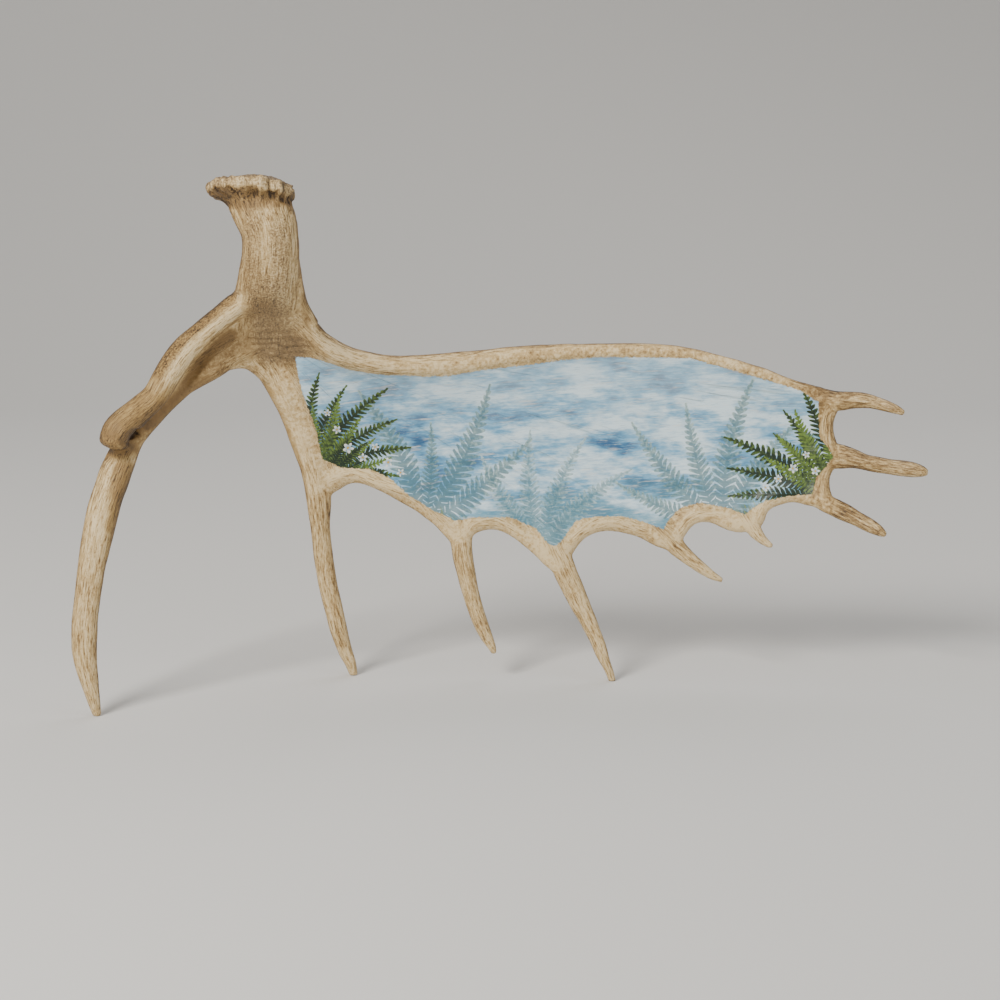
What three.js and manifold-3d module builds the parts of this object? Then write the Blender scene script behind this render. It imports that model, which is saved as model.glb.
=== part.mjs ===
// A shed moose antler with its burr, standing on the points of its brow tine and of two palm tines.
// Millimetres. X runs along the palm, Y runs from the cupped front to the back, and Z is up from the table.
import * as THREE from "three";
import { mergeVertices } from "three/addons/utils/BufferGeometryUtils.js";
import Module from "manifold-3d";

const wasm = await Module();
wasm.setup();

// ---------------------------------------------------------------- driving dimensions
const SAW_GAP = 0.3; // what is left open where the antler is parted at a fork
const LIMB_SIDES = 12;
const RIM_SIDES = 8;
const LIMB_STEP = 22; // spacing of the rings along a limb
const TIP_ROUNDING = 0.6; // length of a limb's rounded end, as a share of its end radius

const BURR_CENTRE = [-273, -14, 556];
const BURR_RADIUS = 44; // to the pits between the pearls
const BURR_DEPTH_RATIO = 0.94; // front to back, against side to side
const BURR_DROP = THREE.MathUtils.degToRad(4); // towards the palm
const BURR_LEAN = THREE.MathUtils.degToRad(18); // towards the back
const BURR_PEARLS = 17;
const BURR_SIDES = 3 * BURR_PEARLS;
const PEARL_HEIGHT = 6;
const SEAL_RISE = 15; // height of the domed cast-off seal over the burr's rim
const SEAL_SHIFT = 10; // the dome's top lies nearer the palm

const PALM_STEP = 16; // spacing of the palm's cross-sections
const PALM_ROWS = 7; // points from the top edge to the lower edge, on each face
const PALM_THICKNESS = 10;
const PALM_TOP_THICKNESS = 17;
const PALM_LOWER_THICKNESS = 13;
const PALM_EDGE_ROUNDING = 3.5;
const LOWER_RIM_RADIUS = 8; // of the rounded rim along each bay between two tines

const HOLLOW_CENTRE = [-263, -4, 376]; // the wrinkled hollow where beam, brow branch and palm meet
const HOLLOW_RADII = [42, 35, 50];
const HOLLOW_SIDES = 20;

const TABLE_BLOCK = [1200, 600, 100]; // wider than the antler, so that all below the table is taken off

// Limbs: each point is [x, y, z, half width, half depth], from the root to the tip.
const BEAM = [
  [-264, -14, 548, 33, 31],
  [-257, -19, 528, 32.5, 29.5],
  [-252, -22, 512, 31, 27],
  [-252, -17, 483, 31.5, 26],
  [-257, -1, 449, 34.5, 25],
  [-264, 21, 410, 37, 21],
  [-268, 38, 377, 31, 17],
];
const TOP_RIM = [
  [-250, 12, 439, 24, 20],
  [-227, 24, 410, 16.5, 17],
  [-202, 38, 383, 13, 14],
  [-166, 54, 364, 12, 12.5],
  [-117, 68, 356, 11, 12],
  [-62, 79, 357, 12.5, 11.5],
  [16, 88, 365, 10, 10.5],
  [106, 88, 370, 8.5, 9],
  [184, 82, 370, 7.5, 8],
  [255, 72, 356, 6.5, 7.5],
  [316, 62, 336, 7, 7.5],
  [346, 60, 327, 7, 7.5],
];
const BROW_RIM = [
  [-250, 8, 452, 14, 16],
  [-286, 6, 431, 15.5, 17],
  [-313, 2, 412, 14, 16],
  [-345, -6, 385, 15, 16],
  [-363, -16, 360, 15, 16],
  [-378, -26, 334, 14.5, 16],
  [-394, -34, 320, 15.5, 17],
  [-408, -44, 308, 17, 18],
  [-416, -50, 299, 18, 18],
  [-419, -52, 290, 16.5, 16],
];
const BROW_WEB = [
  [-270, 30, 410, 30, 12],
  [-304, 22, 388, 26, 11],
  [-337, 12, 366, 23, 11],
  [-368, -2, 339, 20.5, 12],
  [-394, -14, 304, 15, 13],
  [-410, -24, 280, 11, 13],
];
const BROW_FOOT = [
  [-274, 30, 384, 22, 15],
  [-301, 22, 370, 14, 13],
  [-362, 2, 334, 11, 13],
  [-388, -10, 307, 12, 14],
  [-408, -21, 283, 14, 15.5],
  [-419, -30, 260, 16.2, 16.5],
  [-434, -49, 214, 17, 16],
  [-441, -62, 178, 15.5, 14.5],
  [-448, -76, 132, 14, 13.5],
  [-452, -87, 88, 13.5, 12.5],
  [-451, -93, 61, 12.5, 11.5],
  [-446, -98, 36, 10, 9.5],
  [-441, -102, 15, 7, 7],
  [-437, -104, -3, 4.5, 4],
];
const TINE_1 = [
  [-268, 38, 375, 24, 16],
  [-256, 48, 355, 19, 15],
  [-245, 58, 329, 17, 14],
  [-235, 68, 302, 16, 13],
  [-225, 76, 271, 15.5, 12.5],
  [-217, 82, 240, 14.5, 12],
  [-211, 87, 205, 14, 11.5],
  [-209, 90, 166, 12, 10.5],
  [-202, 90, 107, 11.5, 9.5],
  [-189, 86, 52, 10, 8.5],
  [-182, 84, 28, 8, 7],
  [-176, 82, 13, 6.5, 6],
  [-172, 80, -2, 4.5, 4],
];
const TINE_2 = [
  [-53, 99, 210, 6, 3],
  [-51, 91, 181, 12, 7.5],
  [-49, 87, 141, 12, 9.5],
  [-44, 84, 115, 11, 9],
  [-37, 79, 88, 10.5, 8.5],
  [-29, 74, 65, 9, 7.5],
  [-21, 69, 47, 7, 6],
  [-15, 66, 36, 4.5, 4],
  [-13, 65, 30, 3, 3],
];
const TINE_3 = [
  [34, 98, 200, 7, 3],
  [49, 89, 165, 14, 8],
  [58, 83, 142, 14.5, 10],
  [77, 76, 100, 11.5, 9.5],
  [96, 66, 61, 8.5, 7.5],
  [105, 61, 42, 7, 6.5],
  [112, 56, 23, 5.5, 5.5],
  [118, 54, 9, 4.5, 4.5],
  [121, 52, -2, 4, 3.5],
];
const TINE_4 = [
  [142, 96, 205, 6, 3],
  [165, 86, 178, 12, 7.5],
  [181, 79, 162, 13, 9],
  [194, 75, 149, 10.5, 8.5],
  [208, 70, 137, 8.5, 7.5],
  [223, 64, 126, 6.5, 6],
  [234, 60, 119, 4.8, 4.8],
  [243, 57, 115, 3, 3],
];
const TINE_5 = [
  [252, 82, 212, 5, 2.5],
  [266, 74, 191, 9, 6.5],
  [273, 68, 181, 9.5, 7],
  [280, 64, 170, 8, 6.5],
  [286, 60, 163, 6, 5.5],
  [292, 57, 158, 4.2, 4.2],
  [297, 54, 155, 3, 3],
];
const TINE_6 = [
  [316, 73, 222, 6, 2.5],
  [345, 63, 208, 10, 7],
  [373, 53, 196, 10, 8],
  [390, 45, 188, 8.5, 7.5],
  [405, 37, 181, 8, 7],
  [415, 30, 176, 6, 5.5],
  [420, 26, 173, 3.5, 3.5],
];
const TINE_7 = [
  [320, 77, 257, 8, 3],
  [352, 67, 256, 14, 7],
  [371, 62, 255, 14, 8.5],
  [386, 56, 254, 11, 9],
  [400, 48, 251, 9, 8.5],
  [432, 29, 248, 9, 8],
  [448, 20, 247, 8.5, 7.5],
  [457, 15, 246, 6.5, 6.5],
  [462, 12, 245, 4, 4],
];
const TINE_8 = [
  [308, 66, 333, 6, 4],
  [333, 63, 327, 9.5, 7],
  [351, 59, 322, 11.5, 8],
  [369, 54, 319, 11.5, 8.5],
  [384, 46, 321, 10, 8],
  [400, 37, 321, 8.5, 7.5],
  [414, 28, 318, 7, 6.5],
  [428, 18, 314, 5.2, 5.2],
  [435, 14, 311, 3.2, 3.2],
];

// The palm's upper edge [x, y, z], its scalloped lower edge [x, z], the even foot line that the scallops
// play about [x, y, z], and the deepest line of its bowl [x, y].
const PALM_TOP = [
  [-261, 38, 375],
  [-242, 32, 391],
  [-220, 34, 393],
  [-193, 46, 381],
  [-161, 58, 366],
  [-106, 70, 355],
  [-39, 81, 359],
  [39, 88, 367],
  [128, 87, 371],
  [217, 78, 366],
  [283, 68, 347],
  [327, 62, 330],
  [363, 60, 316],
];
const PALM_LOWER = [
  [-262, 347],
  [-240, 283],
  [-222, 237],
  [-198, 212],
  [-172, 224],
  [-119, 201],
  [-78, 173],
  [-60, 156],
  [-31, 167],
  [-6, 168],
  [28, 148],
  [57, 125],
  [78, 156],
  [107, 168],
  [147, 163],
  [182, 150],
  [204, 173],
  [226, 180],
  [264, 171],
  [288, 192],
  [320, 204],
  [350, 204],
  [365, 230],
];
const PALM_FOOT = [
  [-262, 46, 347],
  [-240, 70, 283],
  [-205, 86, 215],
  [-119, 91, 192],
  [-40, 90, 165],
  [60, 87, 148],
  [150, 86, 158],
  [230, 79, 176],
  [300, 70, 195],
  [365, 63, 215],
];
const PALM_BOWL = [
  [-263, 40],
  [-228, 54],
  [-196, 70],
  [-152, 86],
  [-96, 96],
  [-29, 102],
  [62, 105],
  [152, 101],
  [241, 90],
  [319, 76],
  [364, 66],
];

// The rounded rim along the bays, from one tine's root to the next: [x, y, z].
const BAYS = [
  [
    [-209, 84, 222],
    [-190, 83, 230],
    [-171, 85, 233],
    [-139, 88, 220],
    [-105, 89, 207],
    [-78, 88, 184],
    [-56, 88, 166],
  ],
  [[-46, 88, 162], [-35, 89, 174], [-12, 90, 176], [17, 90, 161], [39, 88, 142], [54, 85, 130]],
  [[66, 85, 140], [86, 88, 164], [121, 88, 176], [152, 85, 168], [182, 80, 156]],
  [[194, 79, 162], [211, 80, 181], [240, 77, 184], [268, 72, 173]],
  [[281, 70, 180], [297, 70, 206], [338, 66, 209], [364, 57, 200]],
  [[358, 60, 204], [355, 65, 228], [362, 64, 250]],
  [[362, 62, 260], [355, 62, 290], [360, 58, 318]],
];

// Where the antler is parted: a point on the cut, the direction across it, and the cut's width and depth.
const FORKS = {
  beam: { at: [-249, 5, 430], across: [0.05, -0.15, 1], width: 108, depth: 110 },
  brow: { at: [-294, 20, 395], across: [1, 0.2, 0.1], width: 110, depth: 90 },
  browTine: { at: [-426, -38, 240], across: [0.35, 0.25, 1], width: 60, depth: 60 },
  tine1: { at: [-210, 87, 207], across: [-0.1, 0, 1], width: 42, depth: 50 },
  tine2: { at: [-49, 87, 150], across: [-0.1, 0.1, 1], width: 40, depth: 50 },
  tine3: { at: [62, 82, 134], across: [-0.4, 0.1, 1], width: 46, depth: 50 },
  tine4: { at: [196, 75, 151], across: [-0.8, 0.3, 0.7], width: 50, depth: 50 },
  tine5: { at: [277, 66, 174], across: [-0.6, 0.3, 0.9], width: 42, depth: 50 },
  tine6: { at: [366, 56, 199], across: [-1, 0.4, 0.45], width: 34, depth: 50 },
  tine7: { at: [376, 60, 254], across: [-1, 0.35, 0], width: 44, depth: 50 },
  tine8: { at: [366, 56, 320], across: [-1, 0.2, 0.15], width: 44, depth: 50 },
};

// A point inside each finished piece, which says which piece is which once the cuts are made.
const INSIDE = {
  beam: [-252, -14, 483],
  brow_branch: [-370, -10, 345],
  brow_tine: [-448, -76, 132],
  palm: [62, 105, 260],
  palm_tine_1: [-202, 90, 107],
  palm_tine_2: [-37, 79, 88],
  palm_tine_3: [86, 72, 82],
  palm_tine_4: [208, 70, 137],
  palm_tine_5: [284, 60, 164],
  palm_tine_6: [398, 41, 185],
  palm_tine_7: [424, 34, 249],
  palm_tine_8: [400, 37, 320],
};

// ---------------------------------------------------------------- materials
const antlerBone = new THREE.MeshStandardMaterial({ color: 0xc4a881, roughness: 0.62, metalness: 0 });
const polishedTine = new THREE.MeshStandardMaterial({ color: 0xcdb58f, roughness: 0.4, metalness: 0 });
const paintedPalm = new THREE.MeshStandardMaterial({ color: 0x8fa6b5, roughness: 0.5, metalness: 0 });

// ---------------------------------------------------------------- meshes and solids
// A closed mesh as a manifold-3d solid.
function solidOf(geometry) {
  const bare = geometry.index ? geometry.toNonIndexed() : geometry.clone();
  bare.deleteAttribute("normal");
  bare.deleteAttribute("uv");
  const merged = mergeVertices(bare, 1e-4);
  const mesh = new wasm.Mesh({
    numProp: 3,
    vertProperties: merged.attributes.position.array,
    triVerts: new Uint32Array(merged.index.array),
  });
  return new wasm.Manifold(mesh);
}

// A manifold-3d solid as a three.js geometry.
function geometryOf(solid) {
  const mesh = solid.getMesh();
  const positions = new Float32Array(mesh.numVert * 3);
  for (let i = 0; i < mesh.numVert; i++) {
    const start = i * mesh.numProp;
    positions.set(mesh.vertProperties.subarray(start, start + 3), i * 3);
  }
  const geometry = new THREE.BufferGeometry();
  geometry.setAttribute("position", new THREE.BufferAttribute(positions, 3));
  geometry.setIndex(new THREE.BufferAttribute(mesh.triVerts, 1));
  geometry.computeVertexNormals();
  return geometry;
}

// A geometry from a list of points and a list of index triples.
function geometryFrom(points, triangles) {
  const geometry = new THREE.BufferGeometry();
  const flat = points.flatMap((point) => point.toArray());
  geometry.setAttribute("position", new THREE.Float32BufferAttribute(flat, 3));
  geometry.setIndex(triangles);
  return geometry;
}

// Quads between equal rings of points, as index triples.
function skinBetween(ringCount, sides) {
  const triangles = [];
  for (let ring = 0; ring + 1 < ringCount; ring++) {
    for (let side = 0; side < sides; side++) {
      const a = ring * sides + side;
      const b = ring * sides + ((side + 1) % sides);
      triangles.push(a, b, b + sides, a, b + sides, a + sides);
    }
  }
  return triangles;
}

// A round limb: elliptical rings along a curve through its control points, with rounded ends.
function limb(controls, sides = LIMB_SIDES) {
  const centres = new THREE.CatmullRomCurve3(controls.map(([x, y, z]) => new THREE.Vector3(x, y, z)));
  const radii = new THREE.CatmullRomCurve3(controls.map(([, , , w, d]) => new THREE.Vector3(w, d, 0)));
  const ringCount = Math.ceil(centres.getLength() / LIMB_STEP) + 1;
  const points = [];
  for (let ring = 0; ring < ringCount; ring++) {
    const t = centres.getUtoTmapping(ring / (ringCount - 1));
    const centre = centres.getPoint(t);
    const radius = radii.getPoint(t);
    const along = centres.getTangent(t);
    const across = new THREE.Vector3(0, 1, 0).cross(along).normalize();
    const outward = new THREE.Vector3().crossVectors(along, across);
    for (let side = 0; side < sides; side++) {
      const angle = (side / sides) * 2 * Math.PI;
      const point = centre.clone();
      point.addScaledVector(across, radius.x * Math.cos(angle));
      point.addScaledVector(outward, radius.y * Math.sin(angle));
      points.push(point);
    }
  }
  const triangles = skinBetween(ringCount, sides);
  const root = points.push(endPoint(centres, radii, 0)) - 1;
  const tip = points.push(endPoint(centres, radii, 1)) - 1;
  const lastRing = (ringCount - 1) * sides;
  for (let side = 0; side < sides; side++) {
    const next = (side + 1) % sides;
    triangles.push(root, next, side);
    triangles.push(tip, lastRing + side, lastRing + next);
  }
  return solidOf(geometryFrom(points, triangles));
}

// The middle of a limb's rounded end.
function endPoint(centres, radii, t) {
  const radius = radii.getPoint(t);
  const outward = centres.getTangent(t).multiplyScalar(t === 0 ? -1 : 1);
  return centres.getPoint(t).addScaledVector(outward, TIP_ROUNDING * Math.min(radius.x, radius.y));
}

// One coordinate of a smooth curve through points that are sorted by x, at a given x.
function along(curvePoints, index, x) {
  const xs = curvePoints.map((point) => point[0]);
  const values = curvePoints.map((point) => point[index]);
  const curve = new THREE.CubicInterpolant(xs, values, 1);
  return curve.evaluate(THREE.MathUtils.clamp(x, xs[0], xs[xs.length - 1]))[0];
}

// The palm: a bowl-shaped plate with a rounded, scalloped lower edge.
function palmPlate() {
  const left = PALM_TOP[0][0];
  const right = PALM_TOP[PALM_TOP.length - 1][0];
  const sections = Math.round((right - left) / PALM_STEP) + 1;
  const points = [];
  for (let section = 0; section < sections; section++) {
    points.push(...palmSection(THREE.MathUtils.lerp(left, right, section / (sections - 1))));
  }
  const sides = points.length / sections;
  const triangles = skinBetween(sections, sides);
  closePalmEnd(triangles, 0, false);
  closePalmEnd(triangles, (sections - 1) * sides, true);
  return solidOf(geometryFrom(points, triangles));
}

// How far back the middle of the palm's plate lies: a bowl hung between its upper edge and its foot line.
function palmDepth(x, z) {
  const top = { y: along(PALM_TOP, 1, x), z: along(PALM_TOP, 2, x) };
  const foot = { y: along(PALM_FOOT, 1, x), z: along(PALM_FOOT, 2, x) };
  const floor = along(PALM_BOWL, 1, x);
  const t = (top.z - z) / (top.z - foot.z);
  return top.y * (1 - t) * (1 - 2 * t) + floor * 4 * t * (1 - t) + foot.y * t * (2 * t - 1);
}

// One upright cross-section of the palm: down its front face, round the lower edge and up the back.
function palmSection(x) {
  const top = along(PALM_TOP, 2, x);
  const lower = along(PALM_LOWER, 1, x);
  const front = [];
  const back = [];
  for (let row = 0; row < PALM_ROWS; row++) {
    const t = row / (PALM_ROWS - 1);
    const z = THREE.MathUtils.lerp(top, lower, t);
    const edge = t < 0.5 ? PALM_TOP_THICKNESS : PALM_LOWER_THICKNESS;
    const half = THREE.MathUtils.lerp(PALM_THICKNESS, edge, Math.abs(2 * t - 1) ** 4) / 2;
    front.push(new THREE.Vector3(x, palmDepth(x, z) - half, z));
    back.unshift(new THREE.Vector3(x, palmDepth(x, z) + half, z));
  }
  const lowerEdge = new THREE.Vector3(x, palmDepth(x, lower), lower - PALM_EDGE_ROUNDING);
  const topEdge = new THREE.Vector3(x, palmDepth(x, top), top + PALM_EDGE_ROUNDING);
  return [...front, lowerEdge, ...back, topEdge];
}

// The flat end of the palm plate, whose cross-section starts at the given point.
function closePalmEnd(triangles, start, isRight) {
  const lowerEdge = start + PALM_ROWS;
  const topEdge = start + 2 * PALM_ROWS + 1;
  const front = (row) => start + row;
  const back = (row) => start + 2 * PALM_ROWS - row;
  const faces = [[topEdge, front(0), back(0)]];
  for (let row = 0; row + 1 < PALM_ROWS; row++) {
    faces.push([front(row), front(row + 1), back(row + 1)]);
    faces.push([front(row), back(row + 1), back(row)]);
  }
  faces.push([front(PALM_ROWS - 1), lowerEdge, back(PALM_ROWS - 1)]);
  for (const [a, b, c] of faces) {
    triangles.push(...(isRight ? [a, b, c] : [a, c, b]));
  }
}

// The burr: a pearled coronet round the base of the beam, closed above by the domed seal.
function burr() {
  // Height over the rim, share of the radius, strength of the pearls, and shift towards the palm.
  const profile = [
    [-20, 0.5, 0, 4],
    [-14, 0.76, 0.2, 2],
    [-8, 0.91, 0.6, 0],
    [-3, 1, 1, 0],
    [2, 0.98, 0.8, 0],
    [SEAL_RISE * 0.5, 0.84, 0.2, SEAL_SHIFT / 2],
    [SEAL_RISE * 0.85, 0.5, 0, SEAL_SHIFT],
  ];
  const points = [];
  for (const [height, share, pearling, shift] of profile) {
    for (let side = 0; side < BURR_SIDES; side++) {
      const angle = (side / BURR_SIDES) * 2 * Math.PI;
      const pearl = PEARL_HEIGHT * pearling * Math.abs(Math.sin((angle * BURR_PEARLS) / 2));
      const radius = BURR_RADIUS * share + pearl;
      const x = shift + radius * Math.cos(angle);
      points.push(new THREE.Vector3(x, radius * BURR_DEPTH_RATIO * Math.sin(angle), height));
    }
  }
  const triangles = skinBetween(profile.length, BURR_SIDES);
  const under = points.push(new THREE.Vector3(0, 0, profile[0][0])) - 1;
  const crown = points.push(new THREE.Vector3(SEAL_SHIFT, 0, SEAL_RISE)) - 1;
  const lastRing = (profile.length - 1) * BURR_SIDES;
  for (let side = 0; side < BURR_SIDES; side++) {
    const next = (side + 1) % BURR_SIDES;
    triangles.push(under, next, side);
    triangles.push(crown, lastRing + side, lastRing + next);
  }
  const geometry = geometryFrom(points, triangles);
  geometry.rotateY(BURR_DROP);
  geometry.rotateX(-BURR_LEAN);
  geometry.translate(...BURR_CENTRE);
  return solidOf(geometry);
}

// ---------------------------------------------------------------- the grown antler
// The sunk middle of the fork, as the solid that is taken away.
function hollow() {
  const geometry = new THREE.SphereGeometry(1, HOLLOW_SIDES, HOLLOW_SIDES / 2);
  geometry.scale(...HOLLOW_RADII);
  geometry.translate(...HOLLOW_CENTRE);
  return solidOf(geometry);
}

// All that lies below the table.
function belowTable() {
  const [width, depth, height] = TABLE_BLOCK;
  const geometry = new THREE.BoxGeometry(width, depth, height);
  geometry.translate(0, 0, -height / 2);
  return solidOf(geometry);
}

// A saw cut as thin as the gap, across one fork.
function sawCut({ at, across, width, depth }) {
  const geometry = new THREE.BoxGeometry(width, depth, SAW_GAP);
  const up = new THREE.Vector3(0, 0, 1);
  const turn = new THREE.Quaternion().setFromUnitVectors(up, new THREE.Vector3(...across).normalize());
  geometry.applyQuaternion(turn);
  geometry.translate(...at);
  return solidOf(geometry);
}

// The whole antler as one solid, standing on its three points.
function wholeAntler() {
  const limbs = [BEAM, BROW_RIM, BROW_WEB, BROW_FOOT];
  const tines = [TINE_1, TINE_2, TINE_3, TINE_4, TINE_5, TINE_6, TINE_7, TINE_8];
  let antler = palmPlate().add(burr());
  for (const controls of [...limbs, ...tines]) {
    antler = antler.add(limb(controls));
  }
  antler = antler.add(limb(TOP_RIM, RIM_SIDES));
  for (const bay of BAYS) {
    const rim = bay.map((point) => [...point, LOWER_RIM_RADIUS, LOWER_RIM_RADIUS]);
    antler = antler.add(limb(rim, RIM_SIDES));
  }
  return antler.subtract(hollow()).subtract(belowTable());
}

// The antler parted at its forks, each piece under its name.
function pieces() {
  let antler = wholeAntler();
  for (const fork of Object.values(FORKS)) {
    antler = antler.subtract(sawCut(fork));
  }
  const bodies = antler.decompose();
  const named = {};
  for (const [name, point] of Object.entries(INSIDE)) {
    const probe = solidOf(new THREE.OctahedronGeometry(1).translate(...point));
    named[name] = bodies.find((body) => body.intersect(probe).volume() > 0);
  }
  return named;
}

const group = new THREE.Group();
group.name = "moose_antler";
for (const [name, solid] of Object.entries(pieces())) {
  const isPalm = name === "palm";
  const isTine = name.includes("tine");
  const material = isPalm ? paintedPalm : isTine ? polishedTine : antlerBone;
  const mesh = new THREE.Mesh(geometryOf(solid), material);
  mesh.name = name;
  group.add(mesh);
}

export default group;
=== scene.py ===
"""A shed moose antler with a painted palm, standing on the points of three tines.

The antler grows in one piece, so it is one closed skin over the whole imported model. Lengths are in
millimetres until the skin is made a mesh, and in metres from then on. X runs along the palm, Y from
its cupped front to its back, and Z up from the table.
"""

import itertools
import logging
import math
from collections.abc import Callable
from dataclasses import dataclass, field
from enum import Enum

import bpy
import numpy as np
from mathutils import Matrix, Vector


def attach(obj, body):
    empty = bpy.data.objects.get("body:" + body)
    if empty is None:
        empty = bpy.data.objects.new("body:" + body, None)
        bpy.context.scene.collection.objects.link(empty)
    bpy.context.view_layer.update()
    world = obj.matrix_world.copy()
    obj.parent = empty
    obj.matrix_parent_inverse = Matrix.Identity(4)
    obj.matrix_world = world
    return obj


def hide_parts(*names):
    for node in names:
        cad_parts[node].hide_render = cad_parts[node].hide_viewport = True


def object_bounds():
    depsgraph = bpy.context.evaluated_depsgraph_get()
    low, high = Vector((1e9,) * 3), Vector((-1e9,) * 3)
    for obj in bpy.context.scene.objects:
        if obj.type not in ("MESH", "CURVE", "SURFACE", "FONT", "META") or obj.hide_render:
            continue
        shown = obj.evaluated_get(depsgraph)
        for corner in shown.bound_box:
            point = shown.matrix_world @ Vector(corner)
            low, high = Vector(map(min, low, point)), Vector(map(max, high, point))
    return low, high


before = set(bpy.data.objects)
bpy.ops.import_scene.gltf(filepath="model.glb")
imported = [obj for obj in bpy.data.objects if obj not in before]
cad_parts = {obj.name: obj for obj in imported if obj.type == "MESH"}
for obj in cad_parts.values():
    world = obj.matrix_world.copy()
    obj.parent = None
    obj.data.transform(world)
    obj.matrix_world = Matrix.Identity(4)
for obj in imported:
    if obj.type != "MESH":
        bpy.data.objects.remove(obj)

CAD_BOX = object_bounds()
LOG = logging.getLogger("antler")
MM = 0.001
Array = np.ndarray
Point = tuple[float, ...]

# ------------------------------------------------------------------ the grown form, in millimetres
# Limbs from root to tip: x, y, z, half width, half depth.
BEAM = (
    (-264, -14, 548, 33, 31), (-257, -19, 528, 32.5, 29.5), (-252, -22, 512, 31, 27),
    (-252, -17, 483, 31.5, 26), (-257, -1, 449, 34.5, 25), (-264, 21, 410, 37, 21),
    (-268, 38, 377, 31, 17),
)
TOP_RIM = (
    (-250, 12, 439, 24, 20), (-227, 24, 410, 16.5, 17), (-202, 38, 383, 13, 14),
    (-166, 54, 364, 12, 12.5), (-117, 68, 356, 11, 12), (-62, 79, 357, 12.5, 11.5),
    (16, 88, 365, 10, 10.5), (106, 88, 370, 8.5, 9), (184, 82, 370, 7.5, 8), (255, 72, 356, 6.5, 7.5),
    (316, 62, 336, 7, 7.5), (346, 60, 327, 7, 7.5),
)
BROW_RIM = (
    (-250, 8, 452, 14, 16), (-286, 6, 431, 15.5, 17), (-313, 2, 412, 14, 16), (-345, -6, 385, 15, 16),
    (-363, -16, 360, 15, 16), (-378, -26, 334, 14.5, 16), (-394, -34, 320, 15.5, 17),
    (-408, -44, 308, 17, 18), (-416, -50, 299, 18, 18), (-419, -52, 290, 16.5, 16),
)
BROW_WEB = (
    (-270, 30, 410, 30, 12), (-304, 22, 388, 26, 11), (-337, 12, 366, 23, 11), (-368, -2, 339, 20.5, 12),
    (-394, -14, 304, 15, 13), (-410, -24, 280, 11, 13),
)
BROW_FOOT = (
    (-274, 30, 384, 22, 15), (-301, 22, 370, 14, 13), (-362, 2, 334, 11, 13),
    (-388, -10, 307, 12, 14), (-408, -21, 283, 14, 15.5), (-419, -30, 260, 16.2, 16.5),
    (-434, -49, 214, 17, 16), (-441, -62, 178, 15.5, 14.5), (-448, -76, 132, 14, 13.5),
    (-452, -87, 88, 13.5, 12.5), (-451, -93, 61, 12.5, 11.5), (-446, -98, 36, 10, 9.5),
    (-441, -102, 15, 7, 7), (-437, -104, -3, 4.5, 4),
)
FORK_ARCH = (
    (-323, 20, 356, 7, 9), (-306, 26, 363, 8, 10), (-286, 32, 362, 8.5, 11), (-273, 38, 354, 8, 11),
    (-263, 44, 343, 7, 9),
)
SIDE_RIB = (
    (-227, -24, 513, 4, 5), (-227, -16, 491, 5.5, 7), (-226, -6, 469, 6.5, 9),
    (-225, 4, 449, 7, 10), (-221, 14, 429, 7, 9), (-210, 24, 408, 6.5, 8),
)
TINE_1 = (
    (-268, 38, 375, 24, 16), (-256, 48, 355, 19, 15), (-245, 58, 329, 17, 14), (-235, 68, 302, 16, 13),
    (-225, 76, 271, 15.5, 12.5), (-217, 82, 240, 14.5, 12), (-211, 87, 205, 14, 11.5),
    (-209, 90, 166, 12, 10.5), (-202, 90, 107, 11.5, 9.5), (-189, 86, 52, 10, 8.5),
    (-182, 84, 28, 8, 7), (-176, 82, 13, 6.5, 6), (-172, 80, -2, 4.5, 4),
)
TINE_2 = (
    (-53, 99, 210, 6, 3), (-51, 91, 181, 12, 7.5), (-49, 87, 141, 12, 9.5), (-44, 84, 115, 11, 9),
    (-37, 79, 88, 10.5, 8.5), (-29, 74, 65, 9, 7.5), (-21, 69, 47, 7, 6), (-15, 66, 36, 4.5, 4),
    (-13, 65, 30, 3, 3),
)
TINE_3 = (
    (34, 98, 200, 7, 3), (49, 89, 165, 14, 8), (58, 83, 142, 14.5, 10), (77, 76, 100, 11.5, 9.5),
    (96, 66, 61, 8.5, 7.5), (105, 61, 42, 7, 6.5), (112, 56, 23, 5.5, 5.5), (118, 54, 9, 4.5, 4.5),
    (121, 52, -2, 4, 3.5),
)
TINE_4 = (
    (142, 96, 205, 6, 3), (165, 86, 178, 12, 7.5), (181, 79, 162, 13, 9), (194, 75, 149, 10.5, 8.5),
    (208, 70, 137, 8.5, 7.5), (223, 64, 126, 6.5, 6), (234, 60, 119, 4.8, 4.8), (243, 57, 115, 3, 3),
)
TINE_5 = (
    (252, 82, 212, 5, 2.5), (266, 74, 191, 9, 6.5), (273, 68, 181, 9.5, 7), (280, 64, 170, 8, 6.5),
    (286, 60, 163, 6, 5.5), (292, 57, 158, 4.2, 4.2), (297, 54, 155, 3, 3),
)
TINE_6 = (
    (316, 73, 222, 6, 2.5), (345, 63, 208, 10, 7), (373, 53, 196, 10, 8), (390, 45, 188, 8.5, 7.5),
    (405, 37, 181, 8, 7), (415, 30, 176, 6, 5.5), (420, 26, 173, 3.5, 3.5),
)
TINE_7 = (
    (320, 77, 257, 8, 3), (352, 67, 256, 14, 7), (371, 62, 255, 14, 8.5), (386, 56, 254, 11, 9),
    (400, 48, 251, 9, 8.5), (432, 29, 248, 9, 8), (448, 20, 247, 8.5, 7.5), (457, 15, 246, 6.5, 6.5),
    (462, 12, 245, 4, 4),
)
TINE_8 = (
    (308, 66, 333, 6, 4), (333, 63, 327, 9.5, 7), (351, 59, 322, 11.5, 8), (369, 54, 319, 11.5, 8.5),
    (384, 46, 321, 10, 8), (400, 37, 321, 8.5, 7.5), (414, 28, 318, 7, 6.5), (428, 18, 314, 5.2, 5.2),
    (435, 14, 311, 3.2, 3.2),
)
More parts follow.
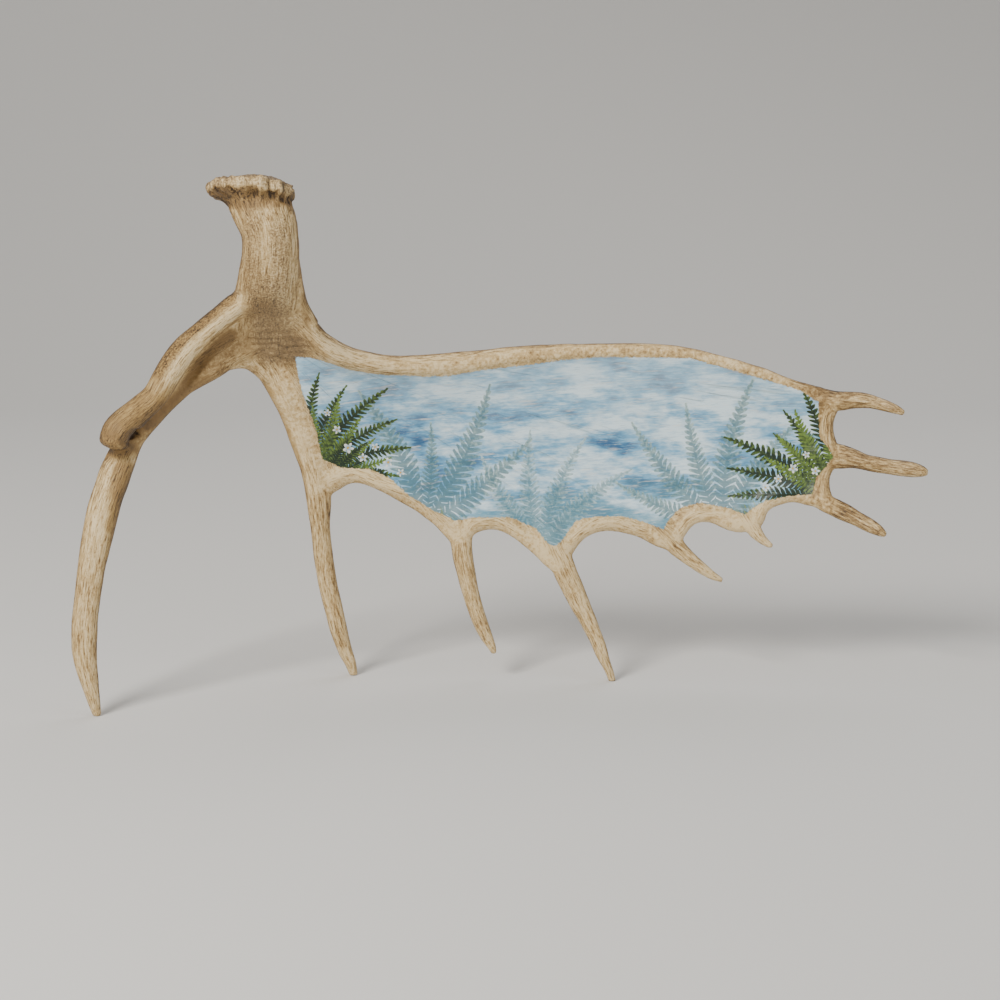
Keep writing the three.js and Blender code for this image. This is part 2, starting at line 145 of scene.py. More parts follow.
PALM_TOP = (
    (-261, 38, 375), (-242, 32, 391), (-220, 34, 393), (-193, 46, 381), (-161, 58, 366),
    (-106, 70, 355), (-39, 81, 359), (39, 88, 367), (128, 87, 371), (217, 78, 366), (283, 68, 347),
    (327, 62, 330), (363, 60, 316),
)
PALM_LOWER = (
    (-262, 347), (-240, 283), (-222, 237), (-198, 212), (-172, 224), (-119, 201), (-78, 173),
    (-60, 156), (-31, 167), (-6, 168), (28, 148), (57, 125), (78, 156), (107, 168), (147, 163),
    (182, 150), (204, 173), (226, 180), (264, 171), (288, 192), (320, 204), (350, 204), (365, 230),
)
PALM_FOOT = (
    (-262, 46, 347), (-240, 70, 283), (-205, 86, 215), (-119, 91, 192), (-40, 90, 165), (60, 87, 148),
    (150, 86, 158), (230, 79, 176), (300, 70, 195), (365, 63, 215),
)
PALM_BOWL = (
    (-263, 40), (-228, 54), (-196, 70), (-152, 86), (-96, 96), (-29, 102), (62, 105), (152, 101),
    (241, 90), (319, 76), (364, 66),
)
BAYS = (
    (
        (-209, 84, 222), (-190, 83, 230), (-171, 85, 233), (-139, 88, 220), (-105, 89, 207),
        (-78, 88, 184), (-56, 88, 166),
    ),
    (
        (-46, 88, 162), (-35, 89, 174), (-12, 90, 176), (17, 90, 161), (39, 88, 142), (54, 85, 130),
    ),
    (
        (66, 85, 140), (86, 88, 164), (121, 88, 176), (152, 85, 168), (182, 80, 156),
    ),
    (
        (194, 79, 162), (211, 80, 181), (240, 77, 184), (268, 72, 173),
    ),
    (
        (281, 70, 180), (297, 70, 206), (338, 66, 209), (364, 57, 200),
    ),
    (
        (358, 60, 204), (355, 65, 228), (362, 64, 250),
    ),
    (
        (365, 62, 258), (359, 62, 276), (358, 61, 296), (364, 58, 317),
    ),
)

VEINS_FROM = (-265, 400)  # the palm's veins run out from here: x, z
VEIN_SPREAD = 300.0  # how far apart they run, in millimetres for each radian
TIP_ROUNDING = 0.6
RING_STEP = 5.0
LOWER_RIM_RADIUS = 8.0
HOLLOW_CENTRE = (-250, -11, 372)
HOLLOW_RADII = (56, 38, 66)
HOLLOW_SLOPE = (0.547, -0.837)  # the fork's front surface runs back and down this way: y, z
# The gutter down the brow branch: x, y, z, radius.
GUTTER = (
    (-270, -2, 418, 3), (-288, 3, 408, 5), (-309, 2.5, 391, 6.5), (-330, -1.5, 371, 7),
    (-344, -7.5, 352, 7), (-354, -15.5, 336, 7), (-370, -23.5, 320, 7), (-387, -31.5, 306, 7),
    (-402, -38, 297, 5.5),
)

# The edge of the paint on the palm's front: x, z.
PAINT_EDGE = (
    (-231, 370), (-215, 369), (-194, 363), (-172, 353), (-139, 347), (-95, 344), (-62, 344), (-28, 350),
    (16, 354), (61, 360), (106, 364), (161, 364), (205, 364), (239, 355), (283, 343), (327, 330),
    (347, 317), (348, 306), (350, 276), (358, 267), (365, 256), (358, 245), (347, 230), (343, 213),
    (319, 210), (291, 204), (274, 193), (269, 188), (247, 195), (219, 199), (197, 193), (182, 177),
    (178, 170), (158, 177), (130, 183), (107, 182), (90, 180), (79, 176), (64, 156), (56, 150),
    (48, 153), (34, 169), (5, 181), (-29, 182), (-57, 178), (-85, 192), (-108, 207), (-130, 226),
    (-152, 237), (-186, 240), (-205, 250), (-207, 261), (-211, 284), (-219, 310), (-224, 326),
    (-230, 357),
)

# ------------------------------------------------------------------ the field that the skin is drawn on
PITCH = 2.42  # spacing of the field, which sets the size of the skin's faces
REACH = 12.0  # how far from a surface its distance is kept
MARGIN = 5  # empty field cells round the antler
GRAIN_SHIFT = 977.0  # sets the grain of one limb apart from the next one's
# How wide the fillets are, and the boxes, from lowest to highest corner, that the wider ones lie in.
FILLET = 5.5
FORK_FILLET = 7.0
FORK_BOX = ((-440, -90, 230), (-190, 100, 540))
BROW_FILLET = 14.0
BROW_BOXES = (((-350, -60, 395), (-250, 70, 520)), ((-270, -60, 380), (-170, 100, 520)))
EDGE_EASE = 4.0
PALM_BOX = ((-235, 20, 100), (390, 130, 345))
# Whole numbers that scatter the noise: one for each axis, two for the seed and two for stirring.
AXIS_PRIMES = (73856093, 19349663, 83492791)
SEED_FACTOR, SEED_SHIFT = 40503, 977
STIRS = ((13, 1274126177), (15, 461845907))


def smoothstep(low: float, high: float, value: Array) -> Array:
    """A soft step from 0 at low to 1 at high."""
    t = np.clip((value - low) / (high - low), 0.0, 1.0)
    return t * t * (3.0 - 2.0 * t)


def catmull_rom(points: Array, t: Array) -> Array:
    """Evaluates a centripetal Catmull-Rom curve.

    Args:
        points: The control points, one row each.
        t: Places on the curve, from 0 at the first point to n - 1 at the last.

    Returns:
        One row for each place.
    """
    ends = (2 * points[:1] - points[1:2], points, 2 * points[-1:] - points[-2:-1])
    padded = np.vstack(ends)
    i = np.minimum(t.astype(int), len(points) - 2)
    w = (t - i)[:, None]
    p0, p1, p2, p3 = (padded[i + k] for k in range(4))

    def step(a: Array, b: Array) -> Array:
        """The centripetal spacing of two neighbouring points."""
        return (((b - a) ** 2).sum(1) ** 0.25)[:, None]

    d1 = step(p1, p2)
    d1 = np.where(d1 < 1e-4, 1.0, d1)
    d0 = np.where(step(p0, p1) < 1e-4, d1, step(p0, p1))
    d2 = np.where(step(p2, p3) < 1e-4, d1, step(p2, p3))
    leave = ((p1 - p0) / d0 - (p2 - p0) / (d0 + d1) + (p2 - p1) / d1) * d1
    reach = ((p2 - p1) / d1 - (p3 - p1) / (d1 + d2) + (p3 - p2) / d2) * d1
    cubic = 2 * p1 - 2 * p2 + leave + reach
    square = -3 * p1 + 3 * p2 - 2 * leave - reach
    return p1 + leave * w + square * w**2 + cubic * w**3


def cubic_along(xs: Array, values: Array, x: Array) -> Array:
    """A smooth curve through values at sorted places xs, with straight ends.

    Args:
        xs: Where the values are.
        values: One value for each place.
        x: Where to read the curve.

    Returns:
        The curve at x.
    """
    x = np.clip(x, xs[0], xs[-1])
    i = np.clip(np.searchsorted(xs, x, side="right") - 1, 0, len(xs) - 2)
    before = np.where(i > 0, i - 1, i + 1)
    after = np.where(i < len(xs) - 2, i + 2, i)
    half = (xs[i + 1] - xs[i]) / 2
    w0 = half / (xs[i] - xs[before])
    w1 = half / (xs[after] - xs[i + 1])
    p = (x - xs[i]) / (2 * half)
    start = (1 + w0) * p**3 - (1.5 + 2 * w0) * p**2 + (w0 - 0.5) * p + 1
    end = -(1 + w1) * p**3 + (1.5 + w1) * p**2 + 0.5 * p
    outer = (-w0 * p**3 + 2 * w0 * p**2 - w0 * p) * values[before]
    return outer + start * values[i] + end * values[i + 1] + (w1 * p**3 - w1 * p**2) * values[after]


def lattice(cell: Array, seed: int) -> Array:
    """A steady random number from 0 to 1 for each row of whole numbers."""
    x, y, z = (cell[..., axis] * prime for axis, prime in enumerate(AXIS_PRIMES))
    mixed = (x ^ y ^ z ^ (seed * SEED_FACTOR + SEED_SHIFT)) & 0xFFFFFFFF
    for shift, factor in STIRS:
        mixed = ((mixed ^ (mixed >> shift)) * factor) & 0xFFFFFFFF
    return ((mixed ^ (mixed >> 16)) & 0xFFFF) / 0xFFFF


def ripple(points: Array, size: float | Point, seed: int) -> Array:
    """Soft noise from -1 to 1.

    Args:
        points: Where to read it, one row each.
        size: The width of its lumps, one number or one for each axis.
        seed: Picks another noise of the same kind.

    Returns:
        One number for each point.
    """
    q = points / np.asarray(size, float)
    base = np.floor(q).astype(np.int64)
    part = q - base
    soft = part**3 * (part * (part * 6 - 15) + 10)
    total = np.zeros(len(q))
    for corner in itertools.product((0, 1), repeat=3):
        weight = np.prod(np.where(corner, soft, 1 - soft), axis=1)
        total += weight * lattice(base + np.array(corner), seed)
    return 2 * total - 1


def pebbles(points: Array, size: float | Point, seed: int) -> Array:
    """Grains packed side by side: 0 in the cracks between them, rising towards their middles.

    Args:
        points: Where to read them, one row each.
        size: The width of a grain, one number or one for each axis.
        seed: Picks another packing.

    Returns:
        One number from 0 to 1 for each point.
    """
    q = points / np.asarray(size, float)
    base = np.floor(q).astype(np.int64)
    nearest = np.full(len(q), 9.0)
    second = np.full(len(q), 9.0)
    for offset in itertools.product((-1, 0, 1), repeat=3):
        cell = base + np.array(offset)
        seat = cell + np.stack([lattice(cell, seed + k) for k in range(3)], axis=1)
        gap = np.linalg.norm(q - seat, axis=1)
        second = np.minimum(second, np.maximum(nearest, gap))
        nearest = np.minimum(nearest, gap)
    return np.clip(second - nearest, 0, 1)


class Field:
    """Signed distances on a regular grid, negative inside the antler."""

    def __init__(self, low: Array, high: Array, pitch: float) -> None:
        """Lays an empty field round a box.

        Args:
            low: The box's lowest corner.
            high: The box's highest corner.
            pitch: The spacing of the grid.
        """
        self.pitch = pitch
        self.low = np.asarray(low, float) - (MARGIN + 0.5) * pitch
        size = np.asarray(high, float) - self.low
        self.shape = tuple(int(n) + MARGIN for n in size / pitch)
        self.values = np.full(self.shape, REACH, np.float32)

    def window(self, low: Array, high: Array) -> tuple[tuple[slice, ...], list[Array]]:
        """The part of the grid that covers a box.

        Args:
            low: The box's lowest corner.
            high: The box's highest corner.

        Returns:
            The slices of the grid, and the coordinates along each of its axes.
        """
        start = np.clip(np.floor((low - self.low) / self.pitch).astype(int), 0, self.shape)
        stop = np.clip(np.ceil((high - self.low) / self.pitch).astype(int) + 1, 0, self.shape)
        slices = tuple(slice(a, b) for a, b in zip(start, stop))
        return slices, [self.low[k] + self.pitch * np.arange(start[k], stop[k]) for k in range(3)]

    def read(self, low: Array, high: Array, distance: Callable[[Array], Array]) -> tuple[tuple, Array]:
        """Measures a form at every grid point in a box and REACH round it.

        Args:
            low: The form's lowest corner.
            high: The form's highest corner.
            distance: Gives the form's signed distance at rows of points.

        Returns:
            The slices of the grid, and the distances there.
        """
        slices, axes = self.window(np.asarray(low) - REACH, np.asarray(high) + REACH)
        points = np.stack(np.meshgrid(*axes, indexing="ij"), axis=-1)
        shape = points.shape[:3]
        return slices, distance(points.reshape(-1, 3)).reshape(shape)

    def fuse(self, low: Array, high: Array, distance: Callable[[Array], Array]) -> None:
        """Adds a form."""
        slices, values = self.read(low, high, distance)
        self.values[slices] = np.minimum(self.values[slices], values)

    def carve(self, low: Array, high: Array, distance: Callable[[Array], Array], soft: float) -> None:
        """Takes a form away, with its rim rounded over the length soft."""
        slices, values = self.read(low, high, distance)
        here = self.values[slices]
        h = np.clip(0.5 + 0.5 * (here + values) / soft, 0, 1)
        self.values[slices] = here * h - values * (1 - h) + soft * h * (1 - h)

    def fillet(self, spread: float, low: Array, high: Array) -> None:
        """Fills the sharp inner corners in a box softly, less so towards its sides.

        All outer forms are left alone.

        Args:
            spread: How wide the fillets are.
            low: The box's lowest corner.
            high: The box's highest corner.
        """
        sharp, soft, weight, slices = self.softened(spread, low, high)
        filled = sharp + weight * np.minimum(soft - sharp, 0)
        self.values[slices] = filled.astype(np.float32)

    def softened(self, spread: float, low: Array, high: Array) -> tuple[Array, Array, Array, tuple]:
        """Blurs the field in a box.

        Args:
            spread: How far it is blurred.
            low: The box's lowest corner.
            high: The box's highest corner.

        Returns:
            The field as it is, the blurred field, a weight that falls to 0 at the box's sides, and the
            slices of the grid.
        """
        slices, axes = self.window(low, high)
        sharp = np.maximum(self.values[slices], -REACH)
        reach = math.ceil(2.5 * spread / self.pitch)
        taps = np.exp(-((np.arange(-reach, reach + 1) * self.pitch / spread) ** 2) / 2)
        taps /= taps.sum()
        soft = sharp
        for axis in range(3):
            padded = np.pad(soft, [(reach, reach) if k == axis else (0, 0) for k in range(3)], mode="edge")
            run = soft.shape[axis]
            soft = sum(tap * np.take(padded, range(k, k + run), axis) for k, tap in enumerate(taps))
        weight = np.ones(1)
        for axis, line in enumerate(axes):
            edge = np.minimum(line - line[0], line[-1] - line)
            shape = [-1 if k == axis else 1 for k in range(3)]
            weight = weight * smoothstep(0, 2 * spread, edge).reshape(shape)
        return sharp, soft, weight, slices

    def ease(self, spread: float, low: Array, high: Array, share: Callable[[Array, Array], Array]) -> None:
        """Rounds outer and inner corners alike in a box, less so towards its sides.

        Args:
            spread: How far the corners are rounded.
            low: The box's lowest corner.
            high: The box's highest corner.
            share: How much of the rounding there is at places x, z, from 0 to 1.
        """
        sharp, soft, weight, slices = self.softened(spread, low, high)
        _, (xs, _, zs) = self.window(low, high)
        x, z = (grid.ravel() for grid in np.meshgrid(xs, zs, indexing="ij"))
        weight = weight * share(x, z).reshape(len(xs), 1, len(zs))
        self.values[slices] = (sharp + weight * (soft - 0.05 * spread - sharp)).astype(np.float32)

    def sample(self, points: Array) -> Array:
        """The field between its grid points, at rows of points."""
        q = (points - self.low) / self.pitch
        base = np.clip(np.floor(q).astype(int), 0, np.array(self.shape) - 2)
        part = q - base
        total = np.zeros(len(q))
        for corner in itertools.product((0, 1), repeat=3):
            i, j, k = (base + np.array(corner)).T
            total += np.prod(np.where(corner, part, 1 - part), axis=1) * self.values[i, j, k]
        return total

    def slope(self, points: Array) -> Array:
        """The field's gradient, at rows of points."""
        step = 0.5 * self.pitch
        sides = np.eye(3) * step
        ups = [self.sample(points + side) - self.sample(points - side) for side in sides]
        return np.stack(ups, axis=1) / (2 * step)

    def skin(self) -> tuple[Array, Array]:
        """Draws the surface between inside and outside as a net of four-sided faces.

        Returns:
            The points, one row each, and the faces, four point numbers each.
        """
        inside = self.values < 0
        corners = list(itertools.product((0, 1), repeat=3))
        cells = [
            inside[tuple(slice(c, n - 1 + c) for c, n in zip(corner, self.shape))]
            for corner in corners
        ]
        count = sum(cell.astype(np.int8) for cell in cells)
        active = np.argwhere((count > 0) & (count < 8))
        number = np.full(count.shape, -1, np.int32)
        number[tuple(active.T)] = np.arange(len(active))
        level = {corner: self.values[tuple((active + np.array(corner)).T)] for corner in corners}
        total = np.zeros((len(active), 3))
        hits = np.zeros((len(active), 1))
        for a, b in itertools.combinations(corners, 2):
            if sum(abs(p - q) for p, q in zip(a, b)) != 1:
                continue
            crosses = ((level[a] < 0) != (level[b] < 0))[:, None]
            gap = np.where(crosses[:, 0], level[a] - level[b], 1.0)
            share = (level[a] / gap)[:, None]
            total += crosses * (np.array(a) + share * (np.array(b) - np.array(a)))
            hits += crosses
        points = self.low + self.pitch * (active + total / hits)
        faces = []
        for axis in range(3):
            lower = np.take(inside, range(self.shape[axis] - 1), axis)
            upper = np.take(inside, range(1, self.shape[axis]), axis)
            edges = np.argwhere(lower != upper)
            u, v = np.eye(3, dtype=int)[(axis + 1) % 3], np.eye(3, dtype=int)[(axis + 2) % 3]
            ring = [number[tuple((edges - shift).T)] for shift in (u + v, v, 0 * u, u)]
            outward = lower[tuple(edges.T)]
            quad = np.stack(ring, axis=1)
            faces.append(np.where(outward[:, None], quad, quad[:, ::-1]))
        return points, np.vstack(faces)


class Form:
    """Something that the antler is grown from."""

    def grow(self, field_: Field) -> None:
        """Adds the form to the field."""
        raise NotImplementedError


@dataclass
class Limb(Form):
    """A rounded limb along a smooth curve.

    Attributes:
        name: What the limb is.
        controls: Its control points: x, y, z, half width, half depth.
    """

    name: str
    controls: tuple[Point, ...]

    def __post_init__(self) -> None:
        """Works out the limb's rings."""
        table = np.array(self.controls, float)
        fine = np.linspace(0, len(table) - 1, 40 * (len(table) - 1) + 1)
        line = catmull_rom(table[:, :3], fine)
        run = np.concatenate([[0], np.cumsum(np.linalg.norm(np.diff(line, axis=0), axis=1))])
        rings = np.linspace(0, run[-1], math.ceil(run[-1] / RING_STEP) + 1)
        t = np.interp(rings, run, fine)
        self.run = rings
        self.centres = catmull_rom(table[:, :3], t)
        self.radii = np.maximum(catmull_rom(table[:, 3:], t), 1.0)
        heading = np.gradient(self.centres, axis=0)
        heading /= np.linalg.norm(heading, axis=1)[:, None]
        across = np.cross((0, 1, 0), heading)
        self.across = across / np.linalg.norm(across, axis=1)[:, None]
        self.outward = np.cross(heading, self.across)

    @property
    def length(self) -> float:
        """The limb's length along its middle."""
        return float(self.run[-1])

    def measure(self, points: Array, j: int) -> tuple[Array, Array]:
        """Measures points from the stretch between rings j and j + 1.

        Args:
            points: One row each.
            j: The stretch's number.

        Returns:
            The signed distances, and each point's place along, across and out from the limb.
        """
        start, end = self.centres[j], self.centres[j + 1]
        step = end - start
        t = np.clip((points - start) @ step / (step @ step), 0, 1)
        offset = points - start - t[:, None] * step
        u = (offset @ self.across[j]) * (1 - t) + (offset @ self.across[j + 1]) * t
        v = (offset @ self.outward[j]) * (1 - t) + (offset @ self.outward[j + 1]) * t
        a = offset @ (step / np.linalg.norm(step))
        w = self.radii[j, 0] * (1 - t) + self.radii[j + 1, 0] * t
        d = self.radii[j, 1] * (1 - t) + self.radii[j + 1, 1] * t
        cap = TIP_ROUNDING * np.minimum(w, d)
        q = np.sqrt((u / w) ** 2 + (v / d) ** 2 + (a / cap) ** 2) + 1e-6
        slope = np.sqrt((u / w**2) ** 2 + (v / d**2) ** 2 + (a / cap**2) ** 2) + 1e-6
        along = self.run[j] + t * (self.run[j + 1] - self.run[j])
        return (q - 1) * q / slope, np.stack([along, u, v], axis=1)

    def grow(self, field_: Field) -> None:
        """Adds the limb to the field, stretch by stretch."""
        for j in range(len(self.centres) - 1):
            pair = self.centres[j : j + 2]
            radius = self.radii[j : j + 2].max()
            field_.fuse(pair.min(0) - radius, pair.max(0) + radius, lambda p, j=j: self.measure(p, j)[0])

    def follow(self, points: Array) -> tuple[Array, Array]:
        """Finds where points lie on the limb.

        Args:
            points: One row each.

        Returns:
            The signed distances, cut off at REACH, and the places along, across and out.
        """
        distance = np.full(len(points), REACH)
        place = np.zeros((len(points), 3))
        for j in range(len(self.centres) - 1):
            pair = self.centres[j : j + 2]
            radius = self.radii[j : j + 2].max() + REACH
            near = np.all((points > pair.min(0) - radius) & (points < pair.max(0) + radius), axis=1)
            gap, here = self.measure(points[near], j)
            closer = gap < distance[near]
            chosen = np.flatnonzero(near)[closer]
            distance[chosen] = gap[closer]
            place[chosen] = here[closer]
        return distance, place


@dataclass
class PalmPlate(Form):
    """The palm: a bowl-shaped plate with a rounded, scalloped lower edge."""

    thickness: float = 10.0
    top_thickness: float = 17.0
    lower_thickness: float = 13.0
    corner_radius: float = 6.0
    edge_rounding: float = 3.5
    outline_step: float = 4.0

    def __post_init__(self) -> None:
        """Keeps the palm's lines as arrays."""
        self.top, self.lower = np.array(PALM_TOP, float), np.array(PALM_LOWER, float)
        self.foot, self.bowl = np.array(PALM_FOOT, float), np.array(PALM_BOWL, float)

    def depth(self, x: Array, z: Array) -> Array:
        """How far back the middle of the plate lies at x, z."""
        top_y = cubic_along(self.top[:, 0], self.top[:, 1], x)
        top_z = cubic_along(self.top[:, 0], self.top[:, 2], x)
        foot_y = cubic_along(self.foot[:, 0], self.foot[:, 1], x)
        foot_z = cubic_along(self.foot[:, 0], self.foot[:, 2], x)
        floor = cubic_along(self.bowl[:, 0], self.bowl[:, 1], x)
        t = np.clip((top_z - z) / (top_z - foot_z), -0.2, 1.4)
        return top_y * (1 - t) * (1 - 2 * t) + floor * 4 * t * (1 - t) + foot_y * t * (2 * t - 1)

    def edges(self, x: Array) -> tuple[Array, Array]:
        """The heights of the palm's upper and lower edge at x."""
        top = cubic_along(self.top[:, 0], self.top[:, 2], x)
        return top, cubic_along(self.lower[:, 0], self.lower[:, 1], x)

    def outline_distance(self, x: Array, z: Array) -> Array:
        """The distance of places x, z from the palm's outline, negative inside it."""
        xs = np.arange(self.top[0, 0], self.top[-1, 0], self.outline_step)
        top, lower = self.edges(xs)
        ring = np.vstack([np.stack([xs, top], 1), np.stack([xs, lower], 1)[::-1]])
        gap = polygon_gap(ring, np.stack([x, z], axis=1))
        high, low = self.edges(x)
        inside = (z < high) & (z > low) & (x > self.top[0, 0]) & (x < xs[-1])
        return np.where(inside, -gap, gap)

    def half(self, x: Array, z: Array) -> Array:
        """Half the plate's thickness at x, z."""
        top, lower = self.edges(x)
        t = np.clip((top - z) / (top - lower), 0, 1)
        edge = np.where(t < 0.5, self.top_thickness, self.lower_thickness)
        return (self.thickness + (edge - self.thickness) * np.abs(2 * t - 1) ** 4) / 2

    def distance(self, y: Array, depth: Array, slope: Array, half: Array, outline: Array) -> Array:
        """The signed distance from the plate, of places whose depth and outline distance are known."""
        corner = np.minimum(half, self.corner_radius)
        across = np.abs(y - depth) / slope - (half - corner)
        within = outline - self.edge_rounding + corner
        outer = np.hypot(np.maximum(across, 0), np.maximum(within, 0))
        return outer + np.minimum(np.maximum(across, within), 0) - corner

    def lay_out(self, x: Array, z: Array) -> tuple[Array, Array, Array, Array]:
        """The plate's depth, slope, half thickness and outline distance at places x, z."""
        step = 1.0
        depth = self.depth(x, z)
        tilt_x = (self.depth(x + step, z) - depth) / step
        tilt_z = (self.depth(x, z + step) - depth) / step
        slope = np.sqrt(1 + tilt_x**2 + tilt_z**2)
        return depth, slope, self.half(x, z), self.outline_distance(x, z)

    def gap(self, points: Array) -> tuple[Array, Array]:
        """The signed distances of points from the plate, and of their places from its outline."""
        depth, slope, half, outline = self.lay_out(points[:, 0], points[:, 2])
        return self.distance(points[:, 1], depth, slope, half, outline), outline

    def grow(self, field_: Field) -> None:
        """Adds the plate to the field."""
        low = np.array([self.top[0, 0], self.top[:, 1].min(), self.lower[:, 1].min()])
        high = np.array([self.top[-1, 0], self.bowl[:, 1].max(), self.top[:, 2].max()])
        slices, (xs, ys, zs) = field_.window(low - 2 * REACH, high + 2 * REACH)
        x, z = (grid.ravel() for grid in np.meshgrid(xs, zs, indexing="ij"))
        flat = [part.reshape(len(xs), 1, len(zs)) for part in self.lay_out(x, z)]
        values = self.distance(ys[None, :, None], *flat)
        field_.values[slices] = np.minimum(field_.values[slices], values)


def polygon_gap(ring: Array, points: Array) -> Array:
    """The distance of flat points from a closed ring of flat points."""
    best = np.full(len(points), 1e9)
    for start, end in zip(ring, np.roll(ring, -1, axis=0)):
        step = end - start
        t = np.clip((points - start) @ step / max(step @ step, 1e-9), 0, 1)
        best = np.minimum(best, ((points - start - t[:, None] * step) ** 2).sum(1))
    return np.sqrt(best)


def polygon_inside(ring: Array, points: Array) -> Array:
    """Whether flat points lie in a closed ring of flat points."""
    inside = np.zeros(len(points), bool)
    for (ax, az), (bx, bz) in zip(ring, np.roll(ring, -1, axis=0)):
        between = (az > points[:, 1]) != (bz > points[:, 1])
        rise = bz - az if bz != az else 1e-9
        inside ^= between & (points[:, 0] < ax + (points[:, 1] - az) * (bx - ax) / rise)
    return inside


@dataclass
class Burr(Form):
    """The pearled coronet round the base of the beam, closed above by the domed cast-off seal."""

    centre: Point = (-273, -14, 556)
    radius: float = 44.0
    depth_ratio: float = 0.94
    drop: float = math.radians(4)
    lean: float = math.radians(18)
    pearls: int = 11
    pearl_height: float = 5.0
    seal_rise: float = 15.0
    seal_shift: float = 10.0
    flange_reach: float = 60.0

    def __post_init__(self) -> None:
        """Sets the burr's profile: height over the rim, share of the radius, pearling and shift."""
        rise, shift = self.seal_rise, self.seal_shift
        rows = (
            (-22, 0.5, 0, 4), (-12, 0.64, 0, 2), (-10, 0.88, 0.5, 0), (-7, 0.98, 1, 0), (-2, 1, 1, 0),
            (3, 0.97, 0.8, 0), (rise * 0.45, 0.76, 0.2, shift * 0.7), (rise * 0.85, 0.46, 0, shift),
            (rise, 0, 0, shift),
        )
        self.profile = np.array(rows)
        c, s = math.cos(self.drop), math.sin(self.drop)
        turn_y = np.array([[c, 0, s], [0, 1, 0], [-s, 0, c]])
        c, s = math.cos(-self.lean), math.sin(-self.lean)
        turn_x = np.array([[1, 0, 0], [0, c, -s], [0, s, c]])
        self.turn = turn_x @ turn_y

    def local(self, points: Array) -> tuple[Array, Array, Array]:
        """The height over the rim, the distance from the axis and the angle of points."""
        p = (points - np.array(self.centre)) @ self.turn
        height = p[:, 2]
        x = p[:, 0] - np.interp(height, self.profile[:, 0], self.profile[:, 3])
        y = p[:, 1] / self.depth_ratio
        return height, np.hypot(x, y), np.arctan2(y, x)

    def distance(self, points: Array) -> Array:
        """The signed distance of points from the burr."""
        height, radius, angle = self.local(points)
        ring = np.vstack([self.profile[:, :2], [(self.profile[0, 0], 0)]])
        ring = np.stack([ring[:, 1] * self.radius, ring[:, 0]], axis=1)
        flat = np.stack([radius, height], axis=1)
        gap = np.where(polygon_inside(ring, flat), -1, 1) * polygon_gap(ring, flat)
        pearling = np.interp(height, self.profile[:, 0], self.profile[:, 2], left=0, right=0)
        lobes = np.abs(np.sin(angle * self.pearls / 2 + 0.8 * np.sin(3 * angle + 1)))
        return gap - self.pearl_height * pearling * lobes

    def grow(self, field_: Field) -> None:
        """Adds the burr to the field."""
        reach = self.radius + self.pearl_height + self.seal_shift
        centre = np.array(self.centre)
        field_.fuse(centre - reach, centre + reach, self.distance)


@dataclass
class Hollow:
    """The sunk middle of the fork, and the gutter that runs from it down the brow branch."""

    centre: Point = HOLLOW_CENTRE
    radii: Point = HOLLOW_RADII
    soft_rim: float = 20.0
    gutter_rim: float = 5.0

    def distance(self, points: Array) -> Array:
        """The signed distance of points from the hollow's ellipsoid."""
        p = points - np.array(self.centre)
        back, down = HOLLOW_SLOPE
        out = p[:, 1] * down - p[:, 2] * back
        p = np.stack([p[:, 0], out, p[:, 1] * back + p[:, 2] * down], axis=1)
        radii = np.array(self.radii, float)
        q = np.linalg.norm(p / radii, axis=1) + 1e-6
        return (q - 1) * q / (np.linalg.norm(p / radii**2, axis=1) + 1e-6)

    def carve(self, field_: Field) -> None:
        """Takes the hollow and the gutter out of the field."""
        centre, reach = np.array(self.centre), max(self.radii)
        field_.carve(centre - reach, centre + reach, self.distance, self.soft_rim)
        gutter = Limb("gutter", tuple((*point, point[-1]) for point in GUTTER))
        radius = gutter.radii.max()
        low, high = gutter.centres.min(0) - radius, gutter.centres.max(0) + radius
        field_.carve(low, high, lambda p: gutter.follow(p)[0], self.gutter_rim)


@dataclass(frozen=True)
class Patch:
    """A place on the antler's front that has a mark of its own, laid along a few points.

    Attributes:
        points: The line that the patch lies along: x, z.
        core: Within this distance of the line the patch is whole.
        rim: Beyond this distance there is none of it.
        strength: How strong the whole patch is.
    """

    points: tuple[Point, ...]
    core: float
    rim: float
    strength: float = 1.0

    def weight(self, flat: Array) -> Array:
        """How much of the patch is at each flat place x, z, from 0 to 1."""
        line = np.array(self.points, float)
        best = np.full(len(flat), 1e9)
        for start, end in zip(line[:-1], line[1:]):
            step = end - start
            t = np.clip((flat - start) @ step / (step @ step), 0, 1)
            best = np.minimum(best, np.linalg.norm(flat - start - t[:, None] * step, axis=1))
        return self.strength * (1 - smoothstep(self.core, self.rim, best))


class Mark(Enum):
    """The marks that the finish reads from the skin; shade is painted shade, pale a painted highlight."""

    CRUST = "crust"
    STAIN = "stain"
    SHADE = "shade"
    # Painted highlight: lighter bands along lit crests, rims and the middles of limbs.
    PALE = "pale"


